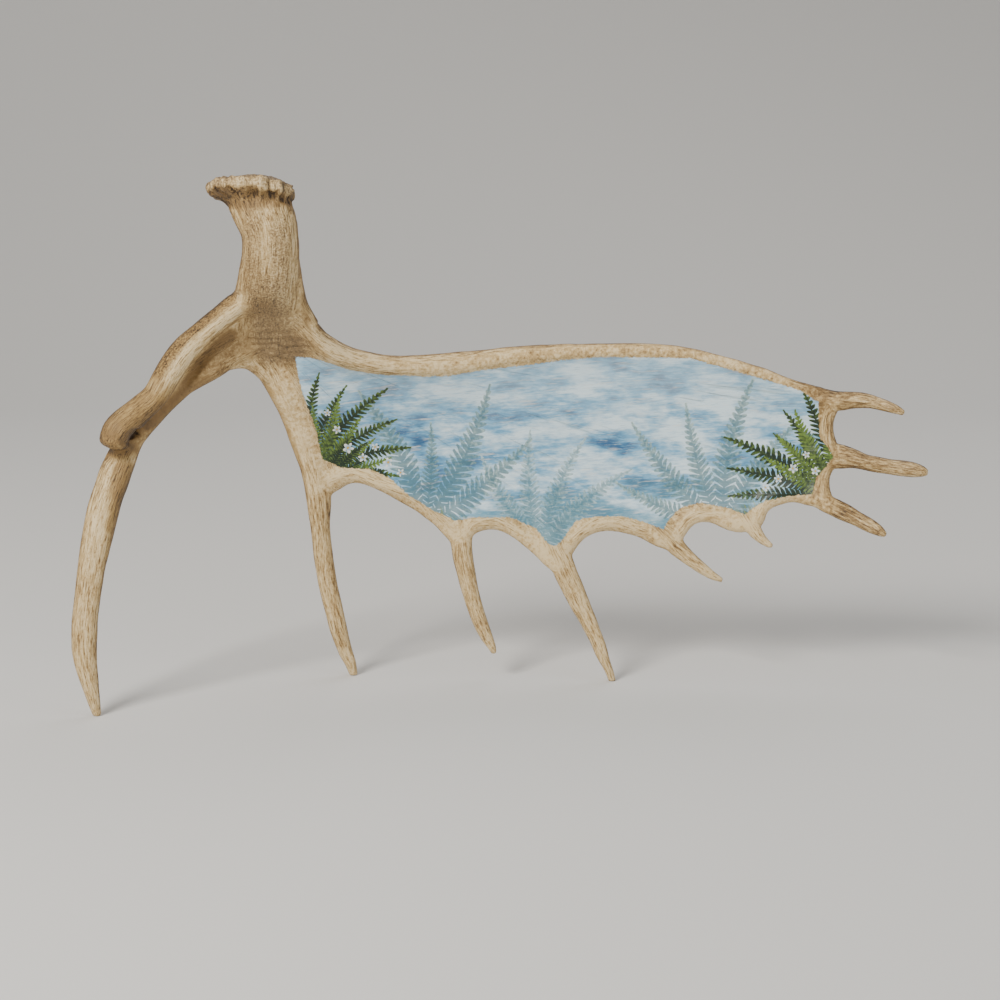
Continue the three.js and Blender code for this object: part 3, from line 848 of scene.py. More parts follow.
PATCHES: dict[Mark, tuple[Patch, ...]] = {
    Mark.CRUST: (
        Patch(((-267, 533), (-267, 504), (-268, 471), (-269, 438), (-264, 408)), 4, 15, 0.6),
        Patch(((-240, 515), (-240, 482), (-243, 437), (-239, 408)), 5, 17, 0.6),
        Patch(((-256, 443), (-253, 408), (-248, 385)), 14, 34, 0.8),
        Patch(((-257, 377), (-230, 381)), 8, 24, 0.8),
        Patch(((-294, 443), (-316, 426), (-337, 407), (-356, 388), (-372, 364)), 4, 11),
    ),
    Mark.STAIN: (
        Patch(((-299, 440), (-327, 417), (-352, 395), (-372, 369), (-383, 347)), 5, 13),
        Patch(((-382, 338), (-394, 317), (-406, 304)), 12, 30, 1.0),
        Patch(((-327, 343), (-353, 326), (-379, 303)), 3, 16, 0.7),
        Patch(((-424, 304), (-415, 289)), 14, 30, 1.0),
        Patch(((-271, 536), (-272, 493), (-269, 437)), 8, 26, 0.3),
        Patch(((-269, 340), (-251, 300), (-236, 253), (-227, 206)), 3, 9),
        Patch(((-412, 256), (-415, 225), (-419, 200)), 7, 15),
        Patch(((-415, 215), (-420, 170), (-425, 130), (-428, 95)), 4, 13, 0.85),
    ),
    Mark.SHADE: (
        Patch(
            ((-298, 397), (-316, 382), (-332, 366), (-343, 350), (-354, 333), (-369, 317), (-387, 303)),
            4, 11,
        ),
        Patch(((-322, 358), (-350, 328), (-380, 304)), 14, 24, 0.55),
        Patch(((-312, 384), (-288, 388), (-264, 384)), 8, 26, 0.6),
        Patch(((-410, 256), (-413, 230)), 3, 16, 0.6),
        Patch(((-398, 299), (-409, 291)), 3, 11),
        Patch(((-424, 304), (-415, 289)), 8, 26, 0.6),
        Patch(((-392, 322), (-404, 306)), 6, 22, 0.3),
        Patch(((-271, 340), (-253, 300), (-238, 253), (-229, 206)), 1, 6, 0.6),
        Patch(((-263, 415), (-257, 394), (-239, 386)), 12, 36, 0.6),
        Patch(((-219, 440), (-216, 407), (-210, 386), (-197, 373)), 1, 6, 0.6),
        Patch(((-310, 547), (-286, 542), (-257, 544), (-230, 546)), 3, 9, 0.8),
        Patch(((-429, 279), (-416, 277), (-404, 280)), 2, 9),
    ),
    # Painted highlights along lit crests, rims and the middles of limbs, and on the bay rims.
    Mark.PALE: (
        Patch(((-254, 533), (-254, 493), (-254, 460)), 2, 14, 0.35),
        Patch(((-284, 436), (-308, 413), (-327, 395), (-342, 379), (-358, 357), (-368, 340)), 6, 13),
        Patch(((-225, 530), (-223, 492)), 1, 5, 0.8),
        Patch(((-257, 353), (-245, 310), (-231, 263), (-223, 216)), 6, 17, 0.6),
        Patch(((-211, 401), (-197, 383), (-172, 368), (-128, 358)), 3, 10, 0.8),
        Patch(((-429, 229), (-442, 177), (-448, 125)), 4, 10, 0.6),
        *(Patch(tuple((x, z) for x, _, z in bay), 5, 12, 0.8) for bay in BAYS),
    ),
}

# Places that have a relief of their own.
WRINKLED = Patch(((-268, 392), (-234, 378)), 8, 30)
CALM = Patch(((-300, 398), (-334, 362), (-358, 327), (-385, 302)), 14, 24)
KNOB_PIT = Patch(((-404, 291), (-397, 298)), 2, 10)
KNOB_UNDERCUT = Patch(((-434, 272), (-420, 268), (-408, 272)), 1, 7)
KNOB_NODULES = Patch(((-417, 277), (-408, 280)), 2, 9)
# How strongly two of the marks show on the burr's flange: the crust, and the pale mark as painted highlight.
BURR_MARKS = {Mark.PALE: 0.35, Mark.CRUST: 0.7}


class Skin:
    """The antler's surface: points, faces, and what the finish needs to know at each point."""

    def __init__(self, points: Array, faces: Array) -> None:
        """Keeps a net of four-sided faces.

        Args:
            points: One row each, in millimetres.
            faces: Four point numbers each.
        """
        self.points = points
        self.faces = faces
        ends = np.vstack([faces[:, [0, 1]], faces[:, [1, 2]], faces[:, [2, 3]], faces[:, [3, 0]]])
        self.edges = np.unique(np.sort(ends, axis=1), axis=0)
        self.degree = np.bincount(self.edges.ravel(), minlength=len(points))

    def averaged(self, values: Array, rounds: int) -> Array:
        """Spreads values from each point to its neighbours.

        Args:
            values: One row for each point.
            rounds: How many times.

        Returns:
            The averaged rows.
        """
        a, b = self.edges.T
        flat = values.reshape(len(values), -1)
        for _ in range(rounds):
            total = np.stack(
                [
                    np.bincount(a, flat[b, k], len(flat)) + np.bincount(b, flat[a, k], len(flat))
                    for k in range(flat.shape[1])
                ],
                axis=1,
            )
            flat = 0.5 * flat + 0.5 * total / self.degree[:, None]
        return flat.reshape(values.shape)

    def normals(self) -> Array:
        """The outward normal at each point."""
        corners = self.points[self.faces]
        across = np.cross(corners[:, 2] - corners[:, 0], corners[:, 3] - corners[:, 1])
        total = np.zeros((len(self.points), 3))
        for corner, axis in itertools.product(range(4), range(3)):
            total[:, axis] += np.bincount(self.faces[:, corner], across[:, axis], len(self.points))
        return total / np.maximum(np.linalg.norm(total, axis=1), 1e-9)[:, None]

    def settle(self, field_: Field, rounds: int) -> None:
        """Evens the net out while keeping it on the field's surface."""
        for _ in range(rounds):
            self.points = self.averaged(self.points, 1)
            self.pull(field_)
        self.pull(field_)

    def pull(self, field_: Field) -> None:
        """Moves each point onto the field's surface."""
        gap = field_.sample(self.points)
        slope = field_.slope(self.points)
        steep = np.maximum((slope**2).sum(1), 0.05)
        step = np.clip(gap / steep, -field_.pitch, field_.pitch)
        self.points = self.points - step[:, None] * slope


@dataclass
class Antler:
    """The whole antler: grown as a field, skinned, roughened and measured for its finish."""

    palm: PalmPlate = field(default_factory=PalmPlate)
    burr: Burr = field(default_factory=Burr)
    hollow: Hollow = field(default_factory=Hollow)
    tip_polish: float = 60.0
    clear_of_box: float = 0.15

    def __post_init__(self) -> None:
        """Names the limbs."""
        self.ribs = [
            Limb("beam", BEAM),
            Limb("top rim", TOP_RIM),
            Limb("brow rim", BROW_RIM),
            Limb("brow web", BROW_WEB),
            Limb("brow foot", BROW_FOOT),
            Limb("fork arch", FORK_ARCH),
            Limb("side rib", SIDE_RIB),
        ]
        tines = (TINE_1, TINE_2, TINE_3, TINE_4, TINE_5, TINE_6, TINE_7, TINE_8)
        self.tines = [Limb(f"tine {n}", controls) for n, controls in enumerate(tines, start=1)]
        radius = LOWER_RIM_RADIUS
        self.bays = [
            Limb(f"bay {n}", tuple((*point, radius, radius) for point in bay))
            for n, bay in enumerate(BAYS, start=1)
        ]

    @property
    def limbs(self) -> list[Limb]:
        """Every limb and rim."""
        return [*self.ribs, *self.tines, *self.bays]

    @property
    def box(self) -> tuple[Array, Array]:
        """The lowest and the highest corner of the room that the antler has, in millimetres."""
        low, high = CAD_BOX
        return np.array(low) / MM, np.array(high) / MM

    def grow(self) -> Field:
        """Grows the antler's form.

        Returns:
            The field that holds it.
        """
        low, high = self.box
        grown = Field(low, high, PITCH)
        for form in (self.palm, self.burr, *self.limbs):
            form.grow(grown)
        grown.fillet(FILLET, low - REACH, high + REACH)
        grown.fillet(FORK_FILLET, *np.array(FORK_BOX))
        for box in BROW_BOXES:
            grown.fillet(BROW_FILLET, *np.array(box))
        self.hollow.carve(grown)
        grown.ease(EDGE_EASE, *np.array(PALM_BOX), self.near_palm)
        floor = grown.low[2] + grown.pitch * np.arange(grown.shape[2])
        grown.values = np.maximum(grown.values, -floor[None, None, :].astype(np.float32))
        LOG.info("grew a field of %s points", grown.shape)
        return grown

    def near_palm(self, x: Array, z: Array) -> Array:
        """Where the palm and its rims are, from 0 to 1, without the tines."""
        return 1 - smoothstep(3, 12, self.palm.outline_distance(x, z))

    def relief(self, skin: Skin, normal: Array, place: Array, sure: Array) -> Array:
        """How far the rough surface stands out from the smooth form.

        Args:
            skin: The smooth skin.
            normal: Its normals.
            place: Each point's place along, across and out from its limb.
            sure: How surely each point belongs to its limb.

        Returns:
            One height for each point, in millimetres.
        """
        points = skin.points
        flat = points[:, [0, 2]]
        off_plate = smoothstep(3, 14, self.palm_gap(points))
        lumps = 0.8 * ripple(points, 42, 11) + 0.45 * ripple(points, 17, 12)
        flutes = 0.9 * ripple(place, (150, 12, 12), 21) + 0.6 * ripple(place, (60, 6.5, 6.5), 22)
        flutes *= sure * off_plate
        crust = self.mark(Mark.CRUST, points, normal)
        grit = pebbles(points, (5.5, 5.5, 6.5), 31) - 0.45
        wrinkled = WRINKLED.weight(flat) * (normal[:, 1] < 0)
        folds = np.sin(points[:, 2] * 0.8 + 2.6 * ripple(points, (15, 15, 9), 41))
        calm = 1 - 0.8 * CALM.weight(flat)
        height = calm * (lumps + flutes * (1 - 0.5 * crust)) + crust * 0.8 * grit + 0.7 * wrinkled * folds
        back = smoothstep(0.2, 0.7, normal[:, 1]) * (1 - off_plate)
        ridges = 1.4 * ripple(place, (240, 16, 40), 71) + 0.8 * ripple(place, (90, 7, 40), 72)
        return height + back * ridges + self.burr_relief(points) + self.knob_relief(points)

    def palm_gap(self, points: Array) -> Array:
        """How far points lie off the palm's plate, with a little more at its edge and beyond."""
        gap, outline = self.palm.gap(points)
        return np.maximum(gap, 0) + 3 * (outline > -4)

    def burr_relief(self, points: Array) -> Array:
        """The pearls on the burr, and the clefts and flutes that run down from it."""
        height, radius, angle = self.burr.local(points)
        near = radius < self.burr.flange_reach
        rim = smoothstep(-14, -8, height) * (1 - smoothstep(4, 11, height)) * smoothstep(28, 38, radius)
        ragged = 2.2 * ripple(points, (13, 13, 40), 57) + 1.4 * ripple(points, (6, 6, 16), 58)
        pearls = 2.0 * (pebbles(points, (8, 8, 12), 51) - 0.4) + ragged
        seal = smoothstep(4, 11, height) * (1 - smoothstep(40, 48, radius))
        seal_pits = -0.9 * (1 - pebbles(points, 7, 53)) ** 3
        ring = np.stack([np.cos(angle), np.sin(angle), 0 * angle], axis=1) * self.burr.radius
        below = smoothstep(-70, -16, height) * (1 - smoothstep(-13, -9, height)) * near
        flutes = ripple(ring, (7, 7, 1), 54) + 0.7 * ripple(ring, (3.8, 3.8, 1), 55)
        cleft = smoothstep(-20, -13, height) * (1 - smoothstep(0, 7, height)) * near
        clefts = -3.2 * smoothstep(-0.05, 0.5, ripple(ring + height[:, None] * 0.2, (5, 5, 9), 56))
        return rim * pearls + seal * seal_pits + 1.1 * below * flutes + cleft * clefts

    def under_burr(self, points: Array) -> Array:
        """Where the shaded underside of the burr is, from 0 to 1."""
        height, radius, _ = self.burr.local(points)
        below = smoothstep(-24, -14, height) * (1 - smoothstep(-10, -6, height))
        return below * (radius < self.burr.flange_reach)

    def on_burr(self, points: Array) -> Array:
        """Where the burr's pale flange is, from 0 to 1."""
        height, radius, _ = self.burr.local(points)
        return smoothstep(-9, -5, height) * smoothstep(24, 34, radius) * (radius < self.burr.flange_reach)

    def knob_relief(self, points: Array) -> Array:
        """The pit and the small nodules on the brow branch's blunt knob."""
        flat = points[:, [0, 2]]
        front = points[:, 1] < -30
        pit, undercut, nodules = (
            patch.weight(flat) * front for patch in (KNOB_PIT, KNOB_UNDERCUT, KNOB_NODULES)
        )
        return -4.0 * pit - 2.4 * undercut + 2.6 * nodules * (pebbles(points, 5, 61) - 0.3)

    def mark(self, mark: Mark, points: Array, normal: Array) -> Array:
        """How strongly a mark shows at each point, from 0 to 1."""
        flat = points[:, [0, 2]]
        weight = np.max([patch.weight(flat) for patch in PATCHES[mark]], axis=0)
        weight = weight * smoothstep(-0.2, 0.2, -normal[:, 1])
        if mark is Mark.SHADE:
            return np.maximum(weight, self.under_burr(points))
        return np.maximum(weight, BURR_MARKS.get(mark, 0.0) * self.on_burr(points))

    def follow(self, points: Array) -> tuple[Array, Array, Array]:
        """Finds the limb that each point belongs to.

        Args:
            points: One row each.

        Returns:
            Each point's place along, across and out from its limb, how surely it belongs there, and
            how near the limb's worn tip it is.
        """
        gaps = [self.palm.gap(points)[0]]
        reach = points[:, [0, 2]] - np.array(VEINS_FROM)
        turn = np.arctan2(-reach[:, 1], reach[:, 0]) * VEIN_SPREAD
        places = [np.stack([np.linalg.norm(reach, axis=1), turn, points[:, 1]], axis=1)]
        tips = [np.zeros(len(points))]
        worn = {"brow foot", *(tine.name for tine in self.tines)}
        for number, limb in enumerate(self.limbs, start=1):
            gap, place = limb.follow(points)
            to_tip = limb.length - place[:, 0]
            gaps.append(gap)
            places.append(place + (GRAIN_SHIFT * number, 0, 0))
            tips.append((gap < REACH) * (limb.name in worn) * (1 - smoothstep(10, self.tip_polish, to_tip)))
        order = np.argsort(gaps, axis=0)
        best = order[0]
        row = np.arange(len(points))
        table = np.array(gaps)
        sure = smoothstep(0.5, 5.0, table[order[1], row] - table[best, row])
        return np.array(places)[best, row], sure, np.array(tips)[best, row]

    def build(self) -> bpy.types.Object:
        """Grows, skins and measures the antler.

        Returns:
            The antler's object.
        """
        grown = self.grow()
        skin = Skin(*grown.skin())
        skin.settle(grown, 4)
        smooth = skin.points.copy()
        normal = skin.averaged(skin.normals(), 2)
        normal /= np.linalg.norm(normal, axis=1)[:, None]
        place, sure, tip = self.follow(smooth)
        height = self.relief(skin, normal, place, sure)
        height *= 1 - 0.7 * smoothstep(0.5, 0.95, tip)
        skin.points = smooth + height[:, None] * normal
        low, high = self.box
        skin.points = np.clip(skin.points, low + self.clear_of_box, high - self.clear_of_box)
        skin.points[:, 2] = np.where(smooth[:, 2] < 0.3, low[2], skin.points[:, 2])
        LOG.info("skinned the antler with %d points and %d faces", len(skin.points), len(skin.faces))
        measures = self.measures(skin, smooth, normal, place, sure, tip)
        return make_object("antler", skin, measures)

    def measures(
        self, skin: Skin, smooth: Array, normal: Array, place: Array, sure: Array, tip: Array
    ) -> dict[str, Array]:
        """What the finish reads at each point.

        Args:
            skin: The rough skin.
            smooth: The points before they were roughened.
            normal: The smooth skin's normals.
            place: Each point's place along, across and out from its limb.
            sure: How surely it belongs to that limb.
            tip: How near the limb's worn tip it is.

        Returns:
            The values under the names that the finish uses.
        """
        normal_now = skin.normals()
        # How far each point is sunk below its neighbours, near and wide; the finish paints shade in the
        # hollows and highlight on the ridges from these.
        near = ((skin.averaged(skin.points, 3) - skin.points) * normal_now).sum(1)
        far = ((skin.averaged(skin.points, 14) - skin.points) * normal_now).sum(1)
        ring = np.array(PAINT_EDGE, float)
        flat = smooth[:, [0, 2]]
        paint = np.where(polygon_inside(ring, flat), 1, -1) * polygon_gap(ring, flat)
        paint = np.where(smooth[:, 1] < self.palm.depth(flat[:, 0], flat[:, 1]), paint, -REACH)
        marks = {mark.value: self.mark(mark, smooth, normal) for mark in Mark}
        return {
            "grain": place,
            "sure": sure,
            "tip": tip,
            "front": -normal[:, 1],
            "crevice": near,
            "dip": far,
            "paint": np.clip(paint, -REACH, REACH * 2),
            **marks,
        }


def make_object(name: str, skin: Skin, measures: dict[str, Array]) -> bpy.types.Object:
    """Makes a skin a Blender object, in metres.

    Args:
        name: The object's name.
        skin: Its points and faces.
        measures: Values for each point, kept as named attributes.

    Returns:
        The object, linked to the scene.
    """
    mesh = bpy.data.meshes.new(name)
    count = len(skin.faces)
    mesh.vertices.add(len(skin.points))
    mesh.vertices.foreach_set("co", (skin.points * MM).astype(np.float32).ravel())
    mesh.loops.add(4 * count)
    mesh.loops.foreach_set("vertex_index", skin.faces.astype(np.int32).ravel())
    mesh.polygons.add(count)
    mesh.polygons.foreach_set("loop_start", np.arange(0, 4 * count, 4, dtype=np.int32))
    mesh.update(calc_edges=True)
    mesh.validate()
    mesh.shade_smooth()
    for key, values in measures.items():
        kind, slot = ("FLOAT_VECTOR", "vector") if values.ndim == 2 else ("FLOAT", "value")
        layer = mesh.attributes.new(key, kind, "POINT")
        layer.data.foreach_set(slot, values.astype(np.float32).ravel())
    made = bpy.data.objects.new(name, mesh)
    bpy.context.scene.collection.objects.link(made)
    return made


# ------------------------------------------------------------------ finishes
Colour = tuple[float, float, float]
PETALS = 5.0
# A sine of the first number's multiples, times the second, gives each frond a length of its own.
FROND_LUCK = (12.9898, 43.7585)


class Value:
    """A number or vector on a shader socket, with Python's operators."""

    def __init__(self, shader: "Shader", socket: bpy.types.NodeSocket) -> None:
        """Wraps a socket.

        Args:
            shader: The shader that the socket's node stands in.
            socket: The socket that gives the value.
        """
        self.shader = shader
        self.socket = socket

    def math(self, operation: str, *others: "Value | float", clamp: bool = False) -> "Value":
        """Adds a Math node that starts from this value."""
        settings = {"operation": operation, "use_clamp": clamp}
        inputs = dict(enumerate((self, *others)))
        return self.shader.node("ShaderNodeMath", settings, inputs)

    def __add__(self, other: "Value | float") -> "Value":
        """self + other."""
        return self.math("ADD", other)

    __radd__ = __add__

    def __mul__(self, other: "Value | float") -> "Value":
        """self * other."""
        return self.math("MULTIPLY", other)

    __rmul__ = __mul__

    def __sub__(self, other: "Value | float") -> "Value":
        """self - other."""
        return self.math("SUBTRACT", other)

    def __rsub__(self, other: float) -> "Value":
        """other - self."""
        return self * -1.0 + other

    def __truediv__(self, other: "Value | float") -> "Value":
        """self / other."""
        return self.math("DIVIDE", other)

    def __abs__(self) -> "Value":
        """The value without its sign."""
        return self.math("ABSOLUTE")

    def __pow__(self, other: float) -> "Value":
        """self to a power."""
        return self.math("POWER", other)

    def floor(self) -> "Value":
        """The next whole number below."""
        return self.math("FLOOR")

    def least(self, other: "Value | float") -> "Value":
        """The smaller of two values."""
        return self.math("MINIMUM", other)

    def most(self, other: "Value | float") -> "Value":
        """The larger of two values."""
        return self.math("MAXIMUM", other)

    def step(self, low: float, high: float) -> "Value":
        """A soft step from 0 at low to 1 at high."""
        settings = {"interpolation_type": "SMOOTHSTEP"}
        return self.shader.node("ShaderNodeMapRange", settings, {0: self, 1: low, 2: high, 3: 0.0, 4: 1.0})


class Shader:
    """A material's nodes, written as Python expressions."""

    def __init__(self, name: str) -> None:
        """Starts an empty material.

        Args:
            name: The material's name.
        """
        self.material = bpy.data.materials.new(name)
        self.material.use_nodes = True
        self.tree = self.material.node_tree
        self.tree.nodes.clear()

    def node(self, kind: str, settings: dict[str, object], inputs: dict, output: int | str = 0) -> Value:
        """Adds any node.

        Args:
            kind: The node's type.
            settings: Its properties, which are set first.
            inputs: Values or links for its sockets, by number, name or identifier.
            output: Which of its outputs to return.

        Returns:
            The output.
        """
        made = self.tree.nodes.new(kind)
        for key, setting in settings.items():
            setattr(made, key, setting)
        for key, given in inputs.items():
            socket = self.find(made.inputs, key)
            if isinstance(given, Value):
                self.tree.links.new(given.socket, socket)
            elif isinstance(given, tuple) and len(given) == 3 and socket.type == "RGBA":
                socket.default_value = (*given, 1.0)
            else:
                socket.default_value = given
        return Value(self, self.find(made.outputs, output))

    def find(self, sockets: bpy.types.bpy_prop_collection, key: int | str) -> bpy.types.NodeSocket:
        """The socket with a number, a name or an identifier."""
        if isinstance(key, int):
            return sockets[key]
        named = [socket for socket in sockets if key in (socket.identifier, socket.name)]
        return named[0]

    def attribute(self, name: str, output: str = "Fac") -> Value:
        """Reads what the skin measured under a name."""
        return self.node("ShaderNodeAttribute", {"attribute_name": name}, {}, output)

    def scaled(self, vector: Value, sizes: Point) -> Value:
        """Divides a vector's parts by three sizes."""
        factors = tuple(1 / size for size in sizes)
        return self.node("ShaderNodeVectorMath", {"operation": "MULTIPLY"}, {0: vector, 1: factors})

    def noise(self, vector: Value, sizes: Point, detail: float = 2.0, roughness: float = 0.5) -> Value:
        """Soft noise about 0.5, with lumps of the given sizes along the vector's axes."""
        inputs = {"Vector": self.scaled(vector, sizes), "Scale": 1.0}
        inputs |= {"Detail": detail, "Roughness": roughness}
        return self.node("ShaderNodeTexNoise", {"noise_dimensions": "3D"}, inputs, "Fac")

    def parts(self, vector: Value) -> tuple[Value, Value, Value]:
        """A vector's three numbers."""
        x = self.node("ShaderNodeSeparateXYZ", {}, {0: vector}, 0)
        node = x.socket.node
        return x, Value(self, node.outputs[1]), Value(self, node.outputs[2])

    def vector(self, x: Value | float, y: Value | float, z: Value | float) -> Value:
        """A vector from three numbers."""
        return self.node("ShaderNodeCombineXYZ", {}, {0: x, 1: y, 2: z})

    def mix(self, factor: Value | float, a: Value | Colour, b: Value | Colour) -> Value:
        """Mixes two colours."""
        inputs = {"Factor_Float": factor, "A_Color": a, "B_Color": b}
        return self.node("ShaderNodeMix", {"data_type": "RGBA"}, inputs, "Result_Color")

    def blend(self, factor: Value | float, a: Value | float, b: Value | float) -> Value:
        """Mixes two numbers."""
        inputs = {"Factor_Float": factor, "A_Float": a, "B_Float": b}
        return self.node("ShaderNodeMix", {"data_type": "FLOAT"}, inputs, "Result_Float")

    def finish(self, colour: Value, roughness: Value, height: Value, relief: float) -> None:
        """Closes the material with its surface.

        Args:
            colour: The base colour.
            roughness: The roughness.
            height: The fine relief, from 0 to 1.
            relief: How high the fine relief stands, in metres.
        """
        bump = self.node("ShaderNodeBump", {}, {"Strength": 1.0, "Distance": relief, "Height": height})
        inputs = {"Base Color": colour, "Roughness": roughness, "Normal": bump}
        self.close(self.node("ShaderNodeBsdfPrincipled", {}, inputs))

    def finish_plain(self, colour: Colour, roughness: float) -> None:
        """Closes the material with one plain colour."""
        self.close(self.node("ShaderNodeBsdfPrincipled", {}, {"Base Color": colour, "Roughness": roughness}))

    def close(self, surface: Value) -> None:
        """Joins a surface to the material's output."""
        output = self.tree.nodes.new("ShaderNodeOutputMaterial")
        self.tree.links.new(surface.socket, output.inputs["Surface"])


@dataclass(frozen=True)
class Fan:
    """A painted fern: fronds that spread from one foot.

    Attributes:
        x: Its foot across the palm, in millimetres.
        z: Its foot above the table, in millimetres.
        turn: Which way its first frond grows, in degrees from straight up, towards the palm's end.
        gap: The angle from one frond to the next, in degrees.
        count: How many fronds it has.
        length: The length of its longest frond in millimetres.
        bend: How far the tips droop sideways, as a share of the gap.
        width: Half a frond's greatest width, as a share of its length.
        tone: How light its green is, from 0 to 1.
        haze: How far it fades into the mist, from 0 to 1.
    """

    x: float
    z: float
    turn: float
    gap: float
    count: int
    length: float
    bend: float
    width: float
    tone: float
    haze: float = 0.0


@dataclass(frozen=True)
class Blossom:
    """One painted five-petalled flower.

    Attributes:
        x: Its middle across the palm, in millimetres.
        z: Its middle above the table, in millimetres.
        radius: Its radius in millimetres.
        turn: How far it is turned, in radians.
    """

    x: float
    z: float
    radius: float
    turn: float


@dataclass(frozen=True)
class PaintedPalm:
    """A plain painter's design on the palm: a misty wash with banks of ferns and small blossoms."""

    deep_blue: Colour = (0.025, 0.115, 0.26)
    sky_blue: Colour = (0.16, 0.41, 0.63)
    mist: Colour = (0.70, 0.86, 0.93)
    teal: Colour = (0.10, 0.26, 0.33)
    dark_green: Colour = (0.008, 0.022, 0.008)
    leaf_green: Colour = (0.15, 0.24, 0.035)
    moss: Colour = (0.20, 0.27, 0.06)
    petal: Colour = (0.86, 0.86, 0.80)
    heart: Colour = (0.62, 0.40, 0.06)
    fans: tuple[Fan, ...] = (
        Fan(40, 146, -44, 27, 4, 150, 0.5, 0.16, 0.45, 0.74),
        Fan(-92, 172, -38, 25, 5, 185, -0.5, 0.16, 0.30, 0.58),
        Fan(244, 170, -76, 25, 5, 190, 0.5, 0.15, 0.35, 0.58),
        Fan(-226, 236, 2, 17, 6, 148, 0.6, 0.17, 0.20),
        Fan(-218, 230, 12, 19, 5, 118, -0.7, 0.19, 0.62),
        Fan(-204, 222, 24, 16, 5, 92, 0.6, 0.22, 0.05),
        Fan(376, 208, -84, 14, 7, 165, -0.6, 0.17, 0.12),
        Fan(376, 212, -74, 17, 5, 124, 0.7, 0.20, 0.60),
    )
    blossoms: tuple[Blossom, ...] = (
        Blossom(-176, 262, 6.4, 0.2), Blossom(-160, 250, 5.2, 0.9), Blossom(-188, 284, 5.0, 0.5),
        Blossom(-146, 262, 4.4, 0.1), Blossom(-132, 244, 5.6, 0.7), Blossom(-118, 232, 4.6, 0.4),
        Blossom(-198, 304, 4.2, 1.0), Blossom(322, 240, 5.4, 0.3), Blossom(306, 228, 4.6, 0.8),
        Blossom(336, 256, 4.4, 0.6), Blossom(292, 218, 4.0, 0.2), Blossom(346, 238, 4.8, 1.1),
    )

    def brushed(self, shader: Shader, x: Value, z: Value) -> Value:
        """Places on the palm, slanted as the brush strokes are."""
        return shader.vector(x + z * 0.35, 0.0, z - x * 0.08)

    def wash(self, shader: Shader, place: Value, x: Value, z: Value) -> Value:
        """The misty ground: drifting blue and white, teal below and paler above.

        Args:
            shader: The material.
            place: The place on the skin, in millimetres.
            x: Its place across the palm.
            z: Its height.

        Returns:
            The colour.
        """
        drift = shader.noise(place, (70, 70, 26), 4.0, 0.6)
        billow = shader.noise(place, (26, 26, 9), 3.0, 0.6)
        brushed = self.brushed(shader, x, z)
        strokes = shader.noise(brushed, (40, 5, 3.4), 3.0, 0.6)
        fine = shader.noise(brushed, (14, 3, 1.3), 3.0, 0.7)
        depth = 0.50 + x.step(60, -230) * 0.30 + (drift - 0.5) * 3.4
        depth = depth + (billow - 0.5) * 1.6 + (strokes - 0.5) * 1.2
        colour = shader.mix(depth.step(0.0, 0.85), self.mist, self.sky_blue)
        colour = shader.mix(depth.step(0.65, 1.35), colour, self.deep_blue)
        low = (205 - z + x * 0.04 + (drift - 0.5) * 150).step(-8, 34)
        colour = shader.mix(low * 0.7, colour, self.teal)
        dawn = (z - 300 + (drift - 0.5) * 120).step(-20, 60)
        colour = shader.mix(dawn * 0.28, colour, self.mist)
        colour = shader.mix(strokes.step(0.54, 0.70) * 0.55, colour, self.petal)
        colour = shader.mix(fine.step(0.54, 0.72) * 0.50, colour, self.teal)
        return shader.mix(fine.step(0.46, 0.30) * 0.45, colour, self.petal)

    def bank(self, shader: Shader, x: Value, z: Value, colour: Value) -> Value:
        """The mossy ground under the ferns.

        Args:
            shader: The material.
            x: The place across the palm.
            z: The height.
            colour: The wash behind it.

        Returns:
            The colour.
        """
        tufts = shader.noise(shader.vector(x + z * 0.4, 0.0, z), (2.6, 9, 15), 3.0, 0.6)
        rise = (x / 60).math("SINE") * 7 + (tufts - 0.5) * 46
        left = (264 - z - (x + 230) * 0.46 + rise).step(-4, 10)
        right = (200 - z + (x - 262) * 0.36 + rise).step(-4, 10) * x.step(170, 250)
        left = left * x.step(40, -60)
        green = shader.mix(tufts.step(0.44, 0.66), self.dark_green, self.moss)
        return shader.mix(left.most(right) * 0.92, colour, green)

    def fern(self, x: Value, z: Value, fan: Fan) -> tuple[Value, Value, Value]:
        """One fern.

        Args:
            x: The place across the palm.
            z: The height.
            fan: The fern.

        Returns:
            Where the fern covers the ground, how far along its frond each place lies, and how far out.
        """
        right, up = x - fan.x, z - fan.z
        radius = (right * right + up * up) ** 0.5
        gap = math.radians(fan.gap)
        spot = (right.math("ARCTAN2", up) - math.radians(fan.turn)) / gap
        spot = spot - radius * (fan.bend / fan.length)
        number = (spot + 0.5).floor().most(0.0).least(fan.count - 1.0)
        luck = ((number * FROND_LUCK[0] + fan.x).math("SINE") * FROND_LUCK[1]).math("FRACT")
        along = radius / (luck * 0.38 * fan.length + 0.62 * fan.length)
        across = abs(spot - number) * along * gap
        width = (1.0 - along).most(0.0) ** 0.8 * along.step(-0.02, 0.16) * fan.width
        rank = along * 23.0 - across * 15.0
        ridge = abs(rank - rank.floor() - 0.5)
        reach = across / width.most(0.001)
        leaflet = (0.44 - ridge - reach * reach * 0.32).step(-0.05, 0.05)
        leaflet = leaflet * (1.0 - reach).step(0.0, 0.08)
        rib = (0.009 - across).step(-0.002, 0.002)
        inside = (1.0 - along).step(0.0, 0.01)
        return leaflet.most(rib) * inside, along, reach

